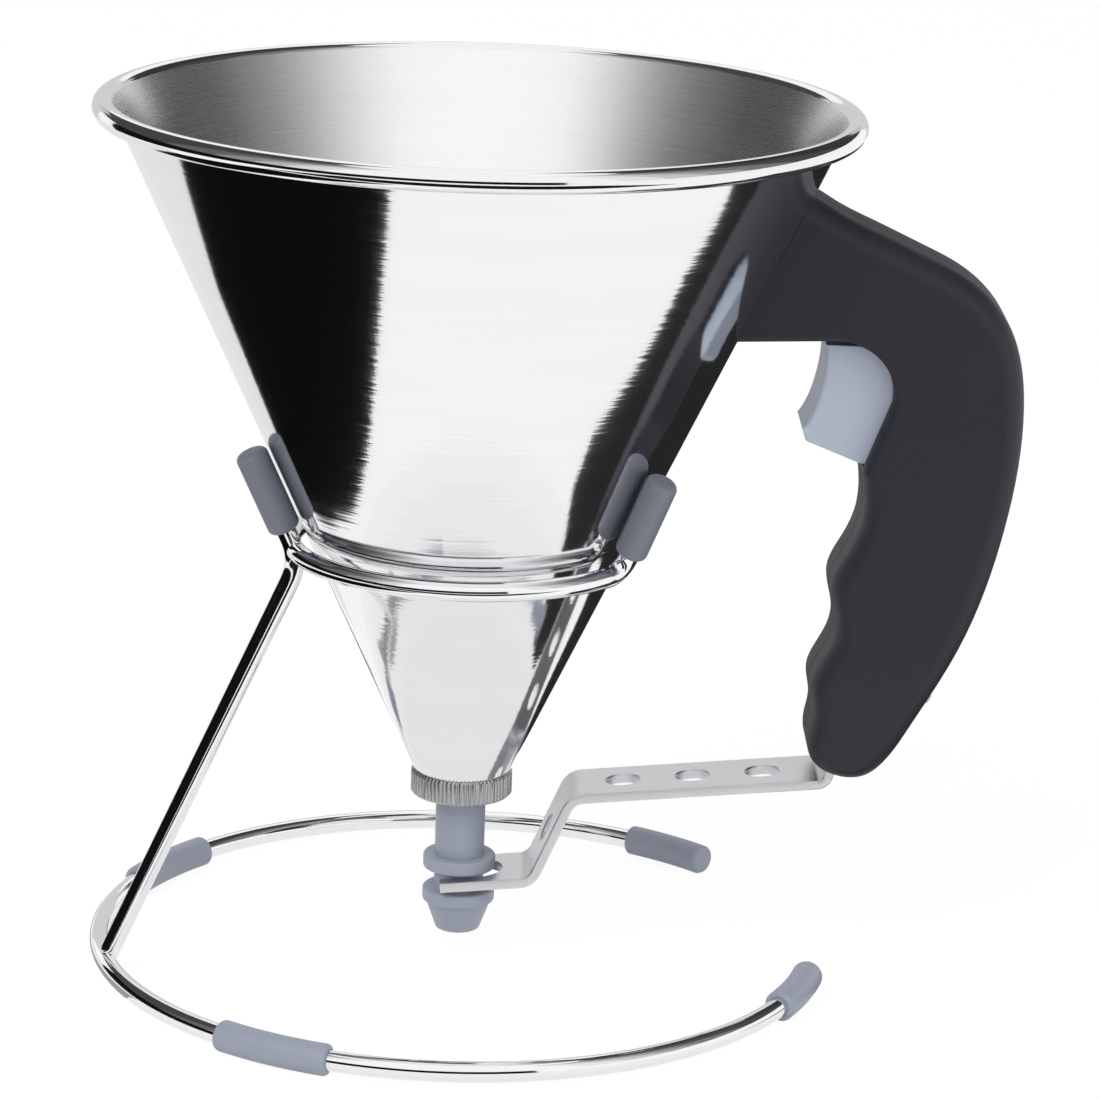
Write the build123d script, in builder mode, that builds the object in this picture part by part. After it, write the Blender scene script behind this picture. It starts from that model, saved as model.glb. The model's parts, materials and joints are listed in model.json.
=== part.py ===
from build123d import *
import os
from math import atan, atan2, cos, degrees, radians, sin, tan

os.makedirs("parts", exist_ok=True)

# A piston funnel on its wire stand, in millimetres. The table is Z = 0, the handle points along +X
# and the middle of the whole length is X = 0. Sketches are drawn from the funnel's upright axis.
# Pulling the trigger rocks the lever, which lifts the piston.

# The funnel's axis, the table and the mirror plane through the axis
axis_x = -16.55
funnel_axis = Axis((axis_x, 0, 0), (0, 0, 1))
table = Plane(origin=(axis_x, 0, 0), x_dir=(1, 0, 0), z_dir=(0, 0, 1))
middle = Plane(origin=(axis_x, 0, 0), x_dir=(1, 0, 0), z_dir=(0, -1, 0))

# Fits between pieces
weld_gap = 0.03  # between pieces that are welded or clamped together
slide_fit = 0.05  # radial clearance of a shaft that turns or slides in its hole
side_gap = 0.4  # clearance beside a piece that moves past another without a fit

# Piston and spout
piston_radius = 5.0
piston_bore_radius = 3.0
spout_tip_height = 5.0  # of the tip above the table
spout_tip_radius = 4.4
spout_taper_height = 6.0
spout_taper_step = 0.7  # of the taper's top inside the lower flange
lower_flange_height = 2.8
upper_flange_height = 2.9
flange_width = 2.3  # of both spout flanges beyond the piston
groove_height = 4.2  # between the flanges, where the fork runs
spigot_wall = 1.0  # of the piston's thinner end inside the spout
spout_stop_height = 8.0  # of the spout's inner shoulder above its tip
port_height = 6.0
port_width = 3.6
port_count = 4
port_land = 0.75  # of solid tube between the ports and the gasket
head_overhang = 2.4  # of the piston's head beyond the tube
head_height = 2.0
head_crown = 3.5
head_tip_radius = 2.0
gasket_height = 0.65

# Neck, guide bush and nut under the cone
cone_foot_height = 39.05
bush_wall = 2.0
bush_recess = 0.4  # of the bush's lower end inside the nut
bush_flange_width = 2.1
bush_flange_height = 1.8
neck_land = 2.6  # from the neck's hole to the cone's lower edge
neck_ring_height = 2.4
neck_seal_height = 1.0
nut_height = 5.0
nut_overhang = 0.5  # of the nut beyond the cone's lower edge
knurl_count = 72
knurl_radius = 0.34

# Cone
rim_height = 172.6  # of the rolled rim's centre
rim_roll_radius = 2.2
rim_opening = 66.0  # degrees of the roll left open against the wall
cone_top_radius = 71.25  # outside, at the rim's height
cone_wall = 0.8

# Handle
handle_drop = 42.0  # of the arm's underside below the rim
handle_half_width = 12.0
handle_wall = 3.2
handle_side_wall = 3.0
room_samples = 60  # points along the room's outline
handle_rounding = 4.4
handle_sink = 6.0  # of the uncut arm inside the cone
foot_rise = 30.6  # of the arm's root above its underside
bay_radius = 10.6  # of the hollow above the trigger
boss_radius = 4.2
boss_root = 0.5  # of the bosses inside the side walls
bracket_thickness = 3.0
bracket_foot = 6.0  # of its edge on the cone, above the arm's underside
bracket_top = 23.0
bracket_reach = 23.8
tang_foot = 8.7  # of the bracket's far end, above the arm's underside
tang_top = 16.7
screw_radius = 1.45
screw_head_radius = 2.8
screw_head_height = 1.8
screw_head_depth = 1.7  # of the head's face below the shell's side
screw_length = 16.0
screw_pilot_gap = 0.03

# Lever and trigger
strip_width = 16.6
strip_thickness = 2.0
fork_reach = 3.7  # of the prongs past the funnel's axis
fork_end = 3.5  # of the fork's round end behind the funnel's axis
fork_lift = 0.3  # of the strip above the groove's middle, at the funnel's axis
lever_tilt = 5.5  # degrees, of the fork and the long run at rest
knee_x = 14.6  # where the strip leaves the fork's level
lever_step = 17.1  # from the fork's level up to the long run
lever_slope = 67.0  # degrees
lever_bend_radius = 4.0
riser_lean = 75.0  # degrees, of the end that goes up into the handle
riser_offset = 4.8  # from the pivot to the riser's middle
riser_top = 16.0  # of the riser past the pivot
riser_bend_radius = 2.4
hole_radius = 3.4
hole_pitch = 14.0
hole_count = 3
hole_start = 10.5  # of the first hole past the upper knee
sloped_hole_radius = 3.0
pivot_radius = 2.0
pivot_boss_radius = 3.4
pivot_boss_half = 4.0
arm_thickness = 3.0
arm_width = 7.0
rivet_radius = 1.5
rivet_head_radius = 2.6
rivet_head_height = 1.2
rivet_depth = 3.0
rivet_stations = (4.0, 11.0)
riser_sway = 2.0  # of the riser in the handle's slot at full pull
trigger_half_width = 7.5
trigger_edge = 3.0
trigger_pin_radius = 1.5
spring_radius = 3.6
spring_wire = 1.0
spring_drop = 42.9  # of the spring's axis below the arm's underside
spring_seat_x = 47.1  # of the spring's seat, from the arm's root
spring_seat_edge = 1.0  # of the seat beyond the spring

# Flow stop on the handle's back, on a small plate that slides inside the wall
stop_share = 0.588  # of the way along the grip's outline
stop_travel = 1.5  # each way
stop_length = 2.8
stop_half_width = 1.6
stop_nub = 1.9
stop_plate_length = 5.2
stop_plate_half_width = 3.2
stop_plate_thickness = 1.0
stop_plate_depth = 1.3  # of the plate's face below the handle's back
stop_gap = 0.12

# Stand
stand_turn = 15.3  # degrees from the handle's plane to the stand's own middle
wire_radius = 2.0
base_radius = 72.5
base_gap = 28.5  # degrees from the stand's middle to each end of the base
cap_span = 15.5  # degrees
cap_end = 2.6  # degrees of solid cap past the wire
sleeve_radius = 3.1
sleeve_flat = 0.25  # of the sleeves and caps, where they stand on the table
sleeve_centre = 46.5  # degrees from the upright
sleeve_span = 19.0  # degrees
sleeve_rounding = 0.8
cradle_height = 86.0
cradle_gap = 48.0  # degrees from the stand's middle to each cradle pad
cradle_bend_radius = 4.0
pad_radius = 3.25
pad_length = 17.6
pad_bore = 14.0
pad_rounding = 1.2
pad_clearance = 0.3  # between a pad and the cone
pad_lead = 0.8  # of bare wire below a pad
elbow_drop = 2.0  # of the upright's elbow below the cradle
elbow_radius = 10.0

# Heights of the spout, from its tip up
flange_foot = spout_tip_height + spout_taper_height
groove_foot = flange_foot + lower_flange_height
groove_top = groove_foot + groove_height
spout_top = groove_top + upper_flange_height
spout_stop = spout_tip_height + spout_stop_height
fork_height = groove_foot + groove_height / 2
flange_radius = piston_radius + flange_width

# Radii and heights of the neck
bush_radius = piston_radius + slide_fit + bush_wall
neck_bore = bush_radius + slide_fit
cone_foot_radius = neck_bore + neck_land
nut_radius = cone_foot_radius + nut_overhang
nut_top = cone_foot_height - slide_fit
nut_foot = nut_top - nut_height
neck_seal_foot = cone_foot_height + neck_ring_height
bush_flange_foot = neck_seal_foot + neck_seal_height
seat_height = bush_flange_foot + bush_flange_height
gasket_foot = seat_height + slide_fit
head_foot = gasket_foot + gasket_height
port_foot = gasket_foot - port_land - port_height

# The cone's slant
cone_slope = (cone_top_radius - cone_foot_radius) / (rim_height - cone_foot_height)
cone_angle = atan(cone_slope)
wall_across = cone_wall / cos(cone_angle)


def cone_radius(height):
    """Outside radius of the cone at a height above the table."""
    return cone_foot_radius + cone_slope * (height - cone_foot_height)


# The handle's reference point is where the arm's underside meets the cone
handle_z = rim_height - handle_drop
handle_x = cone_radius(handle_z)


def at_handle(x, z):
    """A point in the handle's plane, measured from its reference point."""
    return (handle_x + x, handle_z + z)


arm_root = (cone_radius(handle_z) - handle_sink, handle_z)
foot_top = (cone_radius(handle_z + foot_rise) - handle_sink, handle_z + foot_rise)
back_points = [
    foot_top,
    at_handle(13.1, 28.6),
    at_handle(18.6, 25.4),
    at_handle(26.2, 21.8),
    at_handle(36.2, 17.2),
    at_handle(41.0, 14.9),
    at_handle(47.1, 10.8),
    at_handle(52.7, 3.6),
    at_handle(56.1, -11.4),
    at_handle(53.8, -36.6),
    at_handle(46.2, -61.4),
    at_handle(37.1, -78.3),
    at_handle(33.1, -84.6),
]
bottom_points = [
    at_handle(28.6, -88.3),
    at_handle(22.3, -88.2),
    at_handle(18.3, -85.8),
]
# The grip's front waves between the finger grooves and the ridges
front_points = [
    at_handle(16.9, -81.3),
    at_handle(17.7, -75.3),
    at_handle(17.0, -69.9),
    at_handle(19.1, -64.6),
    at_handle(21.4, -57.4),
    at_handle(20.1, -49.1),
    at_handle(23.0, -42.4),
    at_handle(25.6, -34.5),
    at_handle(25.0, -24.8),
]
nose = front_points[-1]
bay_turn = radians(100)  # from the bay's straight side round to the arm's underside
bay_x = 19.5  # of the bay's centre
bay_top = 1.0  # of the bay above the arm's root


def bay_point(turn, radius):
    """A point on an arc about the bay's centre, at an angle from straight up."""
    return at_handle(bay_x + radius * sin(turn), radius * cos(turn) - bay_radius + bay_top)


bay_start = bay_point(bay_turn, bay_radius)
bay_end = bay_point(0, bay_radius)
# Corner of the part behind the bay whose edges stay sharp
sharp_x = 37.5
sharp_rise = 8.1
trigger_back_x = 38.0
trigger_top_z = -0.4
trigger_foot_z = -24.1
trigger_slot_x = 29.7
trigger_front = [at_handle(16.7, trigger_top_z), at_handle(16.0, -9.0), at_handle(12.8, -17.4)]
trigger_toe = [at_handle(13.6, -19.8), at_handle(24.6, trigger_foot_z)]
trigger_back = [
    at_handle(trigger_back_x, trigger_foot_z),
    at_handle(trigger_back_x, -6.8),
    at_handle(30.7, trigger_top_z),
]
pivot_x, pivot_z = at_handle(29.6, -76.6)
trigger_pin_x, trigger_pin_z = at_handle(34.4, -16.7)
bracket_screws = [at_handle(10.5, 14.0), at_handle(19.7, 12.5)]
shell_screws = [at_handle(49.8, -13.7), at_handle(41.7, -56.9)]
room_half_width = handle_half_width - handle_side_wall

# The lever's run in the handle's plane
fork_level = fork_height + fork_lift
run_height = fork_level + lever_step
slope_rise = tan(radians(lever_slope))
tilt_rise = tan(radians(lever_tilt))
tilt_along = (cos(radians(lever_tilt)), 0, sin(radians(lever_tilt)))
tilt_up = (-tilt_along[2], 0, tilt_along[0])
upper_knee_x = knee_x + lever_step / (slope_rise - tilt_rise)
riser_along = (cos(radians(riser_lean)), sin(radians(riser_lean)))
riser_across = (riser_along[1], -riser_along[0])
riser_mid = (pivot_x - riser_offset * riser_across[0], pivot_z - riser_offset * riser_across[1])
riser_rise = tan(radians(riser_lean))
riser_foot_x = (riser_rise * riser_mid[0] - riser_mid[1] + run_height) / (riser_rise - tilt_rise)


def on_riser(along, across):
    """A point beside the riser, measured from the point nearest the pivot."""
    x = riser_mid[0] + along * riser_along[0] + across * riser_across[0]
    z = riser_mid[1] + along * riser_along[1] + across * riser_across[1]
    return (x, z)


def riser_plane(along, across):
    """A plane across the riser, facing back towards the pivot."""
    x, z = on_riser(along, across)
    return Plane(origin=(axis_x + x, 0, z), x_dir=(0, 1, 0), z_dir=(riser_across[0], 0, riser_across[1]))


def radial_plane(azimuth, radius, height):
    """A plane that a ring's section is drawn on, at an angle round the funnel's axis."""
    turn = radians(azimuth)
    origin = (axis_x + radius * cos(turn), radius * sin(turn), height)
    return Plane(origin=origin, x_dir=(cos(turn), sin(turn), 0), z_dir=(-sin(turn), cos(turn), 0))


# Stand
wire_height = sleeve_radius - sleeve_flat
cap_turn = base_gap + cap_end
sleeve_bore = wire_radius + weld_gap

with BuildPart() as base_ring:
    with BuildSketch(radial_plane(cap_turn, base_radius, wire_height)):
        Circle(wire_radius)
    revolve(axis=funnel_axis, revolution_arc=360 - 2 * cap_turn)
base_ring.part.label = "base_ring"
export_step(base_ring.part.rotate(funnel_axis, stand_turn), "parts/base_ring.step")

with BuildPart() as foot_sleeve_front:
    with BuildSketch(radial_plane(180 + sleeve_centre - sleeve_span / 2, base_radius, wire_height)):
        Circle(sleeve_radius)
    revolve(axis=funnel_axis, revolution_arc=sleeve_span)
    fillet(foot_sleeve_front.edges(), sleeve_rounding)
    with BuildSketch(radial_plane(180 + sleeve_centre - sleeve_span / 2, base_radius, wire_height)):
        Circle(sleeve_bore)
    revolve(axis=funnel_axis, revolution_arc=sleeve_span, mode=Mode.SUBTRACT)
    split(bisect_by=Plane.XY, keep=Keep.TOP)
foot_sleeve_front.part.label = "foot_sleeve_front"
export_step(foot_sleeve_front.part.rotate(funnel_axis, stand_turn), "parts/foot_sleeve_front.step")

with BuildPart() as foot_sleeve_back:
    add(foot_sleeve_front.part)
    mirror(about=Plane.XZ, mode=Mode.REPLACE)
foot_sleeve_back.part.label = "foot_sleeve_back"
export_step(foot_sleeve_back.part.rotate(funnel_axis, stand_turn), "parts/foot_sleeve_back.step")

with BuildPart() as end_cap_back:
    with BuildSketch(radial_plane(base_gap, base_radius, wire_height)):
        Circle(sleeve_radius)
    revolve(axis=funnel_axis, revolution_arc=cap_span)
    fillet(end_cap_back.edges(), sleeve_rounding)
    with BuildSketch(radial_plane(cap_turn, base_radius, wire_height)):
        Circle(sleeve_bore)
    revolve(axis=funnel_axis, revolution_arc=cap_span, mode=Mode.SUBTRACT)
    split(bisect_by=Plane.XY, keep=Keep.TOP)
end_cap_back.part.label = "end_cap_back"
export_step(end_cap_back.part.rotate(funnel_axis, stand_turn), "parts/end_cap_back.step")

with BuildPart() as end_cap_front:
    add(end_cap_back.part)
    mirror(about=Plane.XZ, mode=Mode.REPLACE)
end_cap_front.part.label = "end_cap_front"
export_step(end_cap_front.part.rotate(funnel_axis, stand_turn), "parts/end_cap_front.step")

# Wires and pads of the cradle, which follow the cone's slant
pad_offset = (pad_radius + pad_clearance) / cos(cone_angle)
cradle_radius = cone_radius(cradle_height) + pad_offset
bend_share = degrees(cradle_bend_radius / cradle_radius)
cradle_arc = 180 - cradle_gap - bend_share
bend_turn = radians(-cradle_gap - bend_share)
bend_start = Vector(axis_x + cradle_radius * cos(bend_turn), cradle_radius * sin(bend_turn), cradle_height)
bend_along = Vector(-sin(bend_turn), cos(bend_turn), 0)
slant = Vector(sin(cone_angle) * cos(bend_turn), sin(cone_angle) * sin(bend_turn), cos(cone_angle))
half_bend = cradle_bend_radius * sin(radians(45))
bend_middle = bend_start + bend_along * half_bend + slant * (cradle_bend_radius - half_bend)
bend_end = bend_start + bend_along * cradle_bend_radius + slant * cradle_bend_radius
rear_slant = Vector(-sin(cone_angle), 0, cos(cone_angle))
elbow_height = cradle_height - elbow_drop
elbow = Vector(axis_x - cone_radius(elbow_height) - pad_offset, 0, elbow_height)
pad_foot_rise = cradle_bend_radius + pad_lead + elbow_drop / cos(cone_angle)
rear_pad_foot = elbow + rear_slant * pad_foot_rise
upright_foot = Vector(axis_x - base_radius, 0, wire_height)

with BuildLine() as upright_path:
    FilletPolyline(upright_foot, elbow, rear_pad_foot + rear_slant * pad_bore, radius=elbow_radius)
upright_plane = Plane(origin=upright_foot, z_dir=elbow - upright_foot)

with BuildPart() as upright:
    with BuildSketch(upright_plane):
        Circle(wire_radius)
    sweep(path=upright_path.line)
    with BuildSketch(radial_plane(90, base_radius, wire_height)):
        Circle(wire_radius + weld_gap)
    revolve(axis=funnel_axis, revolution_arc=180, mode=Mode.SUBTRACT)
upright.part.label = "upright"
export_step(upright.part.rotate(funnel_axis, stand_turn), "parts/upright.step")

with BuildLine() as cradle_path:
    with BuildLine(table.offset(cradle_height)):
        CenterArc((0, 0), cradle_radius, 180, cradle_arc)
    ThreePointArc(bend_start, bend_middle, bend_end)
    Line(bend_end, bend_end + slant * (pad_lead + pad_bore))

with BuildPart() as cradle_wire_front:
    with BuildSketch(radial_plane(180, cradle_radius, cradle_height)):
        Circle(wire_radius)
    sweep(path=cradle_path.line)
    with BuildSketch(upright_plane):
        Circle(wire_radius + weld_gap)
    sweep(path=upright_path.line, mode=Mode.SUBTRACT)
cradle_wire_front.part.label = "cradle_wire_front"
export_step(cradle_wire_front.part.rotate(funnel_axis, stand_turn), "parts/cradle_wire_front.step")

with BuildPart() as cradle_wire_back:
    add(cradle_wire_front.part)
    mirror(about=Plane.XZ, mode=Mode.REPLACE)
cradle_wire_back.part.label = "cradle_wire_back"
export_step(cradle_wire_back.part.rotate(funnel_axis, stand_turn), "parts/cradle_wire_back.step")

with BuildPart() as rear_pad:
    with BuildSketch(Plane(origin=rear_pad_foot, z_dir=rear_slant)):
        Circle(pad_radius)
    extrude(amount=pad_length)
    fillet(rear_pad.edges(), pad_rounding)
    with BuildSketch(Plane(origin=rear_pad_foot, z_dir=rear_slant)):
        Circle(sleeve_bore)
    extrude(amount=pad_bore + weld_gap, mode=Mode.SUBTRACT)
rear_pad.part.label = "rear_pad"
export_step(rear_pad.part.rotate(funnel_axis, stand_turn), "parts/rear_pad.step")

cradle_pad_foot = bend_end + slant * pad_lead
with BuildPart() as cradle_pad_front:
    with BuildSketch(Plane(origin=cradle_pad_foot, z_dir=slant)):
        Circle(pad_radius)
    extrude(amount=pad_length)
    fillet(cradle_pad_front.edges(), pad_rounding)
    with BuildSketch(Plane(origin=cradle_pad_foot, z_dir=slant)):
        Circle(sleeve_bore)
    extrude(amount=pad_bore + weld_gap, mode=Mode.SUBTRACT)
cradle_pad_front.part.label = "cradle_pad_front"
export_step(cradle_pad_front.part.rotate(funnel_axis, stand_turn), "parts/cradle_pad_front.step")

with BuildPart() as cradle_pad_back:
    add(cradle_pad_front.part)
    mirror(about=Plane.XZ, mode=Mode.REPLACE)
cradle_pad_back.part.label = "cradle_pad_back"
export_step(cradle_pad_back.part.rotate(funnel_axis, stand_turn), "parts/cradle_pad_back.step")

# Cone with its rolled rim: the roll is tangent to the wall's inside and stays open underneath
rim_radius = cone_radius(rim_height) - wall_across + rim_roll_radius / cos(cone_angle)
roll_start = 180 - degrees(cone_angle)
wedge_reach = 3 * rim_roll_radius


def on_roll(turn, reach):
    """A point seen from the rolled rim's centre, at an angle and a distance."""
    return (rim_radius + reach * cos(radians(turn)), rim_height + reach * sin(radians(turn)))


with BuildPart() as cone:
    with BuildSketch(middle):
        with Locations((rim_radius, rim_height)):
            Circle(rim_roll_radius)
            Circle(rim_roll_radius - cone_wall, mode=Mode.SUBTRACT)
        with BuildLine():
            Polyline(
                (rim_radius, rim_height),
                on_roll(roll_start, wedge_reach),
                on_roll(roll_start + rim_opening, wedge_reach),
                close=True,
            )
        make_face(mode=Mode.SUBTRACT)
        with BuildLine():
            Polyline(
                (cone_foot_radius - wall_across, cone_foot_height),
                (cone_foot_radius, cone_foot_height),
                on_roll(roll_start, rim_roll_radius - cone_wall),
                on_roll(roll_start, rim_roll_radius),
                close=True,
            )
        make_face()
    revolve(axis=funnel_axis)
cone.part.label = "cone"
export_step(cone.part, "parts/cone.step")

# Neck, seal, bush and nut
inner_foot_radius = cone_foot_radius - wall_across - weld_gap
with BuildPart() as neck_ring:
    with BuildSketch(middle):
        with BuildLine():
            Polyline(
                (neck_bore, cone_foot_height),
                (inner_foot_radius, cone_foot_height),
                (inner_foot_radius + cone_slope * neck_ring_height, neck_seal_foot),
                (neck_bore, neck_seal_foot),
                close=True,
            )
        make_face()
    revolve(axis=funnel_axis)
neck_ring.part.label = "neck_ring"
export_step(neck_ring.part, "parts/neck_ring.step")

with BuildPart() as neck_seal:
    with BuildSketch(table.offset(neck_seal_foot)):
        Circle(bush_radius + bush_flange_width)
        Circle(neck_bore, mode=Mode.SUBTRACT)
    extrude(amount=neck_seal_height)
neck_seal.part.label = "neck_seal"
export_step(neck_seal.part, "parts/neck_seal.step")

with BuildPart() as guide_bush:
    with BuildSketch(table.offset(nut_foot + bush_recess)):
        Circle(bush_radius)
        Circle(piston_radius + slide_fit, mode=Mode.SUBTRACT)
    extrude(amount=bush_flange_foot - nut_foot - bush_recess)
    with BuildSketch(table.offset(bush_flange_foot)):
        Circle(bush_radius + bush_flange_width)
        Circle(piston_radius + slide_fit, mode=Mode.SUBTRACT)
    extrude(amount=bush_flange_height)
guide_bush.part.label = "guide_bush"
export_step(guide_bush.part, "parts/guide_bush.step")

with BuildPart() as nozzle_nut:
    with BuildSketch(table.offset(nut_foot)):
        Circle(nut_radius)
        with PolarLocations(nut_radius, knurl_count):
            Circle(knurl_radius, mode=Mode.SUBTRACT)
        Circle(bush_radius + slide_fit, mode=Mode.SUBTRACT)
    extrude(amount=nut_height)
nozzle_nut.part.label = "nozzle_nut"
export_step(nozzle_nut.part, "parts/nozzle_nut.step")

# Piston: a tube with side ports under its head, and a spout pushed on from below
spigot_radius = piston_bore_radius + spigot_wall
with BuildPart() as piston_tube:
    with BuildSketch(middle):
        with BuildLine():
            Polyline(
                (piston_bore_radius, spout_stop),
                (spigot_radius, spout_stop),
                (spigot_radius, spout_top),
                (piston_radius, spout_top),
                (piston_radius, head_foot),
                (piston_radius + head_overhang, head_foot),
                (piston_radius + head_overhang, head_foot + head_height),
                (head_tip_radius, head_foot + head_height + head_crown),
                (0, head_foot + head_height + head_crown),
                (0, head_foot),
                (piston_bore_radius, head_foot),
                close=True,
            )
        make_face()
    revolve(axis=funnel_axis)
    with BuildSketch(table.offset(port_foot)):
        with PolarLocations(piston_radius, port_count):
            Rectangle(2 * piston_radius - piston_bore_radius, port_width)
    extrude(amount=port_height, mode=Mode.SUBTRACT)
piston_tube.part.label = "piston_tube"
export_step(piston_tube.part, "parts/piston_tube.step")

with BuildPart() as piston_seal:
    with BuildSketch(table.offset(gasket_foot)):
        Circle(piston_radius + head_overhang)
        Circle(piston_radius + weld_gap, mode=Mode.SUBTRACT)
    extrude(amount=gasket_height)
piston_seal.part.label = "piston_seal"
export_step(piston_seal.part, "parts/piston_seal.step")

with BuildPart() as spout:
    with BuildSketch(middle):
        with BuildLine():
            Polyline(
                (piston_bore_radius, spout_tip_height),
                (spout_tip_radius, spout_tip_height),
                (flange_radius - spout_taper_step, flange_foot),
                (flange_radius, flange_foot),
                (flange_radius, groove_foot),
                (piston_radius, groove_foot),
                (piston_radius, groove_top),
                (flange_radius, groove_top),
                (flange_radius, spout_top),
                (spigot_radius + weld_gap, spout_top),
                (spigot_radius + weld_gap, spout_stop),
                (piston_bore_radius, spout_stop),
                close=True,
            )
        make_face()
    revolve(axis=funnel_axis)
spout.part.label = "spout"
export_step(spout.part, "parts/spout.step")

# Lever bar: a strip bent from the fork up to the riser inside the handle
fork_half = piston_radius + side_gap
strip_points = [
    (-fork_reach, fork_level - fork_reach * tilt_rise),
    (knee_x, fork_level + knee_x * tilt_rise),
    (upper_knee_x, run_height + upper_knee_x * tilt_rise),
    (riser_foot_x, run_height + riser_foot_x * tilt_rise),
    on_riser(riser_top, 0),
]
with BuildLine() as strip_path:
    FilletPolyline(
        *[(axis_x + x, 0, z) for x, z in strip_points],
        radius=[lever_bend_radius, lever_bend_radius, riser_bend_radius],
    )
strip_end_x, strip_end_z = strip_points[0]
strip_plane = Plane(origin=(axis_x + strip_end_x, 0, strip_end_z), x_dir=(0, 1, 0), z_dir=tilt_along)
fork_plane = Plane(origin=(axis_x, 0, fork_level), x_dir=tilt_along, z_dir=tilt_up)
run_plane = Plane(origin=(axis_x, 0, run_height), x_dir=tilt_along, z_dir=tilt_up)
slope_turn = radians(lever_slope)
slope_plane = Plane(
    origin=(
        axis_x + (knee_x + upper_knee_x) / 2,
        0,
        (strip_points[1][1] + strip_points[2][1]) / 2,
    ),
    x_dir=(0, 1, 0),
    z_dir=(-sin(slope_turn), 0, cos(slope_turn)),
)

with BuildPart() as lever_bar:
    with BuildSketch(strip_plane):
        Rectangle(strip_width, strip_thickness)
    sweep(path=strip_path.line)
    with BuildSketch(fork_plane):
        with Locations((fork_end, 0)):
            Circle(fork_half)
            Rectangle(2 * (fork_reach + fork_end), 2 * fork_half, align=(Align.MAX, Align.CENTER))
    extrude(amount=strip_thickness, both=True, mode=Mode.SUBTRACT)
    with BuildSketch(run_plane):
        with Locations([(upper_knee_x + hole_start + n * hole_pitch, 0) for n in range(hole_count)]):
            Circle(hole_radius)
    extrude(amount=strip_thickness, both=True, mode=Mode.SUBTRACT)
    with BuildSketch(slope_plane):
        Circle(sloped_hole_radius)
    extrude(amount=strip_thickness, both=True, mode=Mode.SUBTRACT)
    for station in rivet_stations:
        with BuildSketch(riser_plane(station, 0)):
            Circle(rivet_radius + weld_gap)
        extrude(amount=strip_thickness, both=True, mode=Mode.SUBTRACT)
lever_bar.part.label = "lever_bar"
export_step(lever_bar.part, "parts/lever_bar.step")

# Lever arm: a plate from the riser past the pivot up to the trigger
riser_face = strip_thickness / 2 + weld_gap
arm_run = Vector(trigger_pin_x - pivot_x, trigger_pin_z - pivot_z)
arm_direction = arm_run.normalized()
arm_knee = (pivot_x + arm_direction.X * riser_top, pivot_z + arm_direction.Y * riser_top)
arm_middle = ((pivot_x + trigger_pin_x) / 2, (pivot_z + trigger_pin_z) / 2)

with BuildPart() as lever_arm:
    with BuildSketch(middle):
        with BuildLine():
            Polyline(
                on_riser(-pivot_boss_radius, riser_face),
                on_riser(riser_top - 1, riser_face),
                arm_knee,
                (pivot_x, pivot_z),
                close=True,
            )
        make_face()
        with Locations((pivot_x, pivot_z)):
            Circle(pivot_boss_radius)
    extrude(amount=pivot_boss_half, both=True)
    with BuildSketch(middle):
        with Locations(Location((*arm_middle, 0), (0, 0, degrees(atan2(arm_direction.Y, arm_direction.X))))):
            SlotCenterToCenter(arm_run.length, arm_width)
    extrude(amount=arm_thickness / 2, both=True)
    with BuildSketch(middle):
        with BuildLine():
            Polyline(
                on_riser(-pivot_boss_radius, riser_face),
                on_riser(riser_top + side_gap, riser_face),
                on_riser(riser_top + side_gap, -pivot_boss_radius),
                on_riser(-pivot_boss_radius, -pivot_boss_radius),
                close=True,
            )
        make_face()
    extrude(amount=pivot_boss_half, both=True, mode=Mode.SUBTRACT)
    with BuildSketch(middle):
        with Locations((pivot_x, pivot_z)):
            Circle(pivot_radius + slide_fit)
        with Locations((trigger_pin_x, trigger_pin_z)):
            Circle(trigger_pin_radius + weld_gap)
    extrude(amount=pivot_boss_half, both=True, mode=Mode.SUBTRACT)
    for station in rivet_stations:
        with BuildSketch(riser_plane(station, 0)):
            Circle(rivet_radius + weld_gap)
        extrude(amount=riser_face + rivet_depth + weld_gap, mode=Mode.SUBTRACT)
lever_arm.part.label = "lever_arm"
export_step(lever_arm.part, "parts/lever_arm.step")

with BuildPart() as lever_rivets:
    for station in rivet_stations:
        with BuildSketch(riser_plane(station, -riser_face)):
            Circle(rivet_radius)
        extrude(amount=2 * riser_face + rivet_depth)
        with BuildSketch(riser_plane(station, -riser_face - rivet_head_height)):
            Circle(rivet_head_radius)
        extrude(amount=rivet_head_height)
lever_rivets.part.label = "lever_rivets"
export_step(lever_rivets.part, "parts/lever_rivets.step")

# Trigger: a hooked finger piece with a slot for the arm
with BuildPart() as trigger:
    with BuildSketch(middle):
        with BuildLine():
            ThreePointArc(*trigger_front)
            Polyline(trigger_front[-1], *trigger_toe, *trigger_back, trigger_front[0])
        make_face()
    extrude(amount=trigger_half_width, both=True)
    front_edges = trigger.edges().filter_by(GeomType.CIRCLE)
    fillet(front_edges, trigger_edge)
    with BuildSketch(middle):
        with Locations(at_handle(trigger_slot_x, trigger_top_z)):
            Rectangle(
                trigger_back_x - trigger_slot_x,
                trigger_top_z - trigger_foot_z,
                align=(Align.MIN, Align.MAX),
            )
    extrude(amount=arm_thickness / 2 + weld_gap, both=True, mode=Mode.SUBTRACT)
    with BuildSketch(middle):
        with Locations((trigger_pin_x, trigger_pin_z)):
            Circle(trigger_pin_radius + weld_gap)
    extrude(amount=trigger_half_width, both=True, mode=Mode.SUBTRACT)
trigger.part.label = "trigger"
export_step(trigger.part, "parts/trigger.step")

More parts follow.
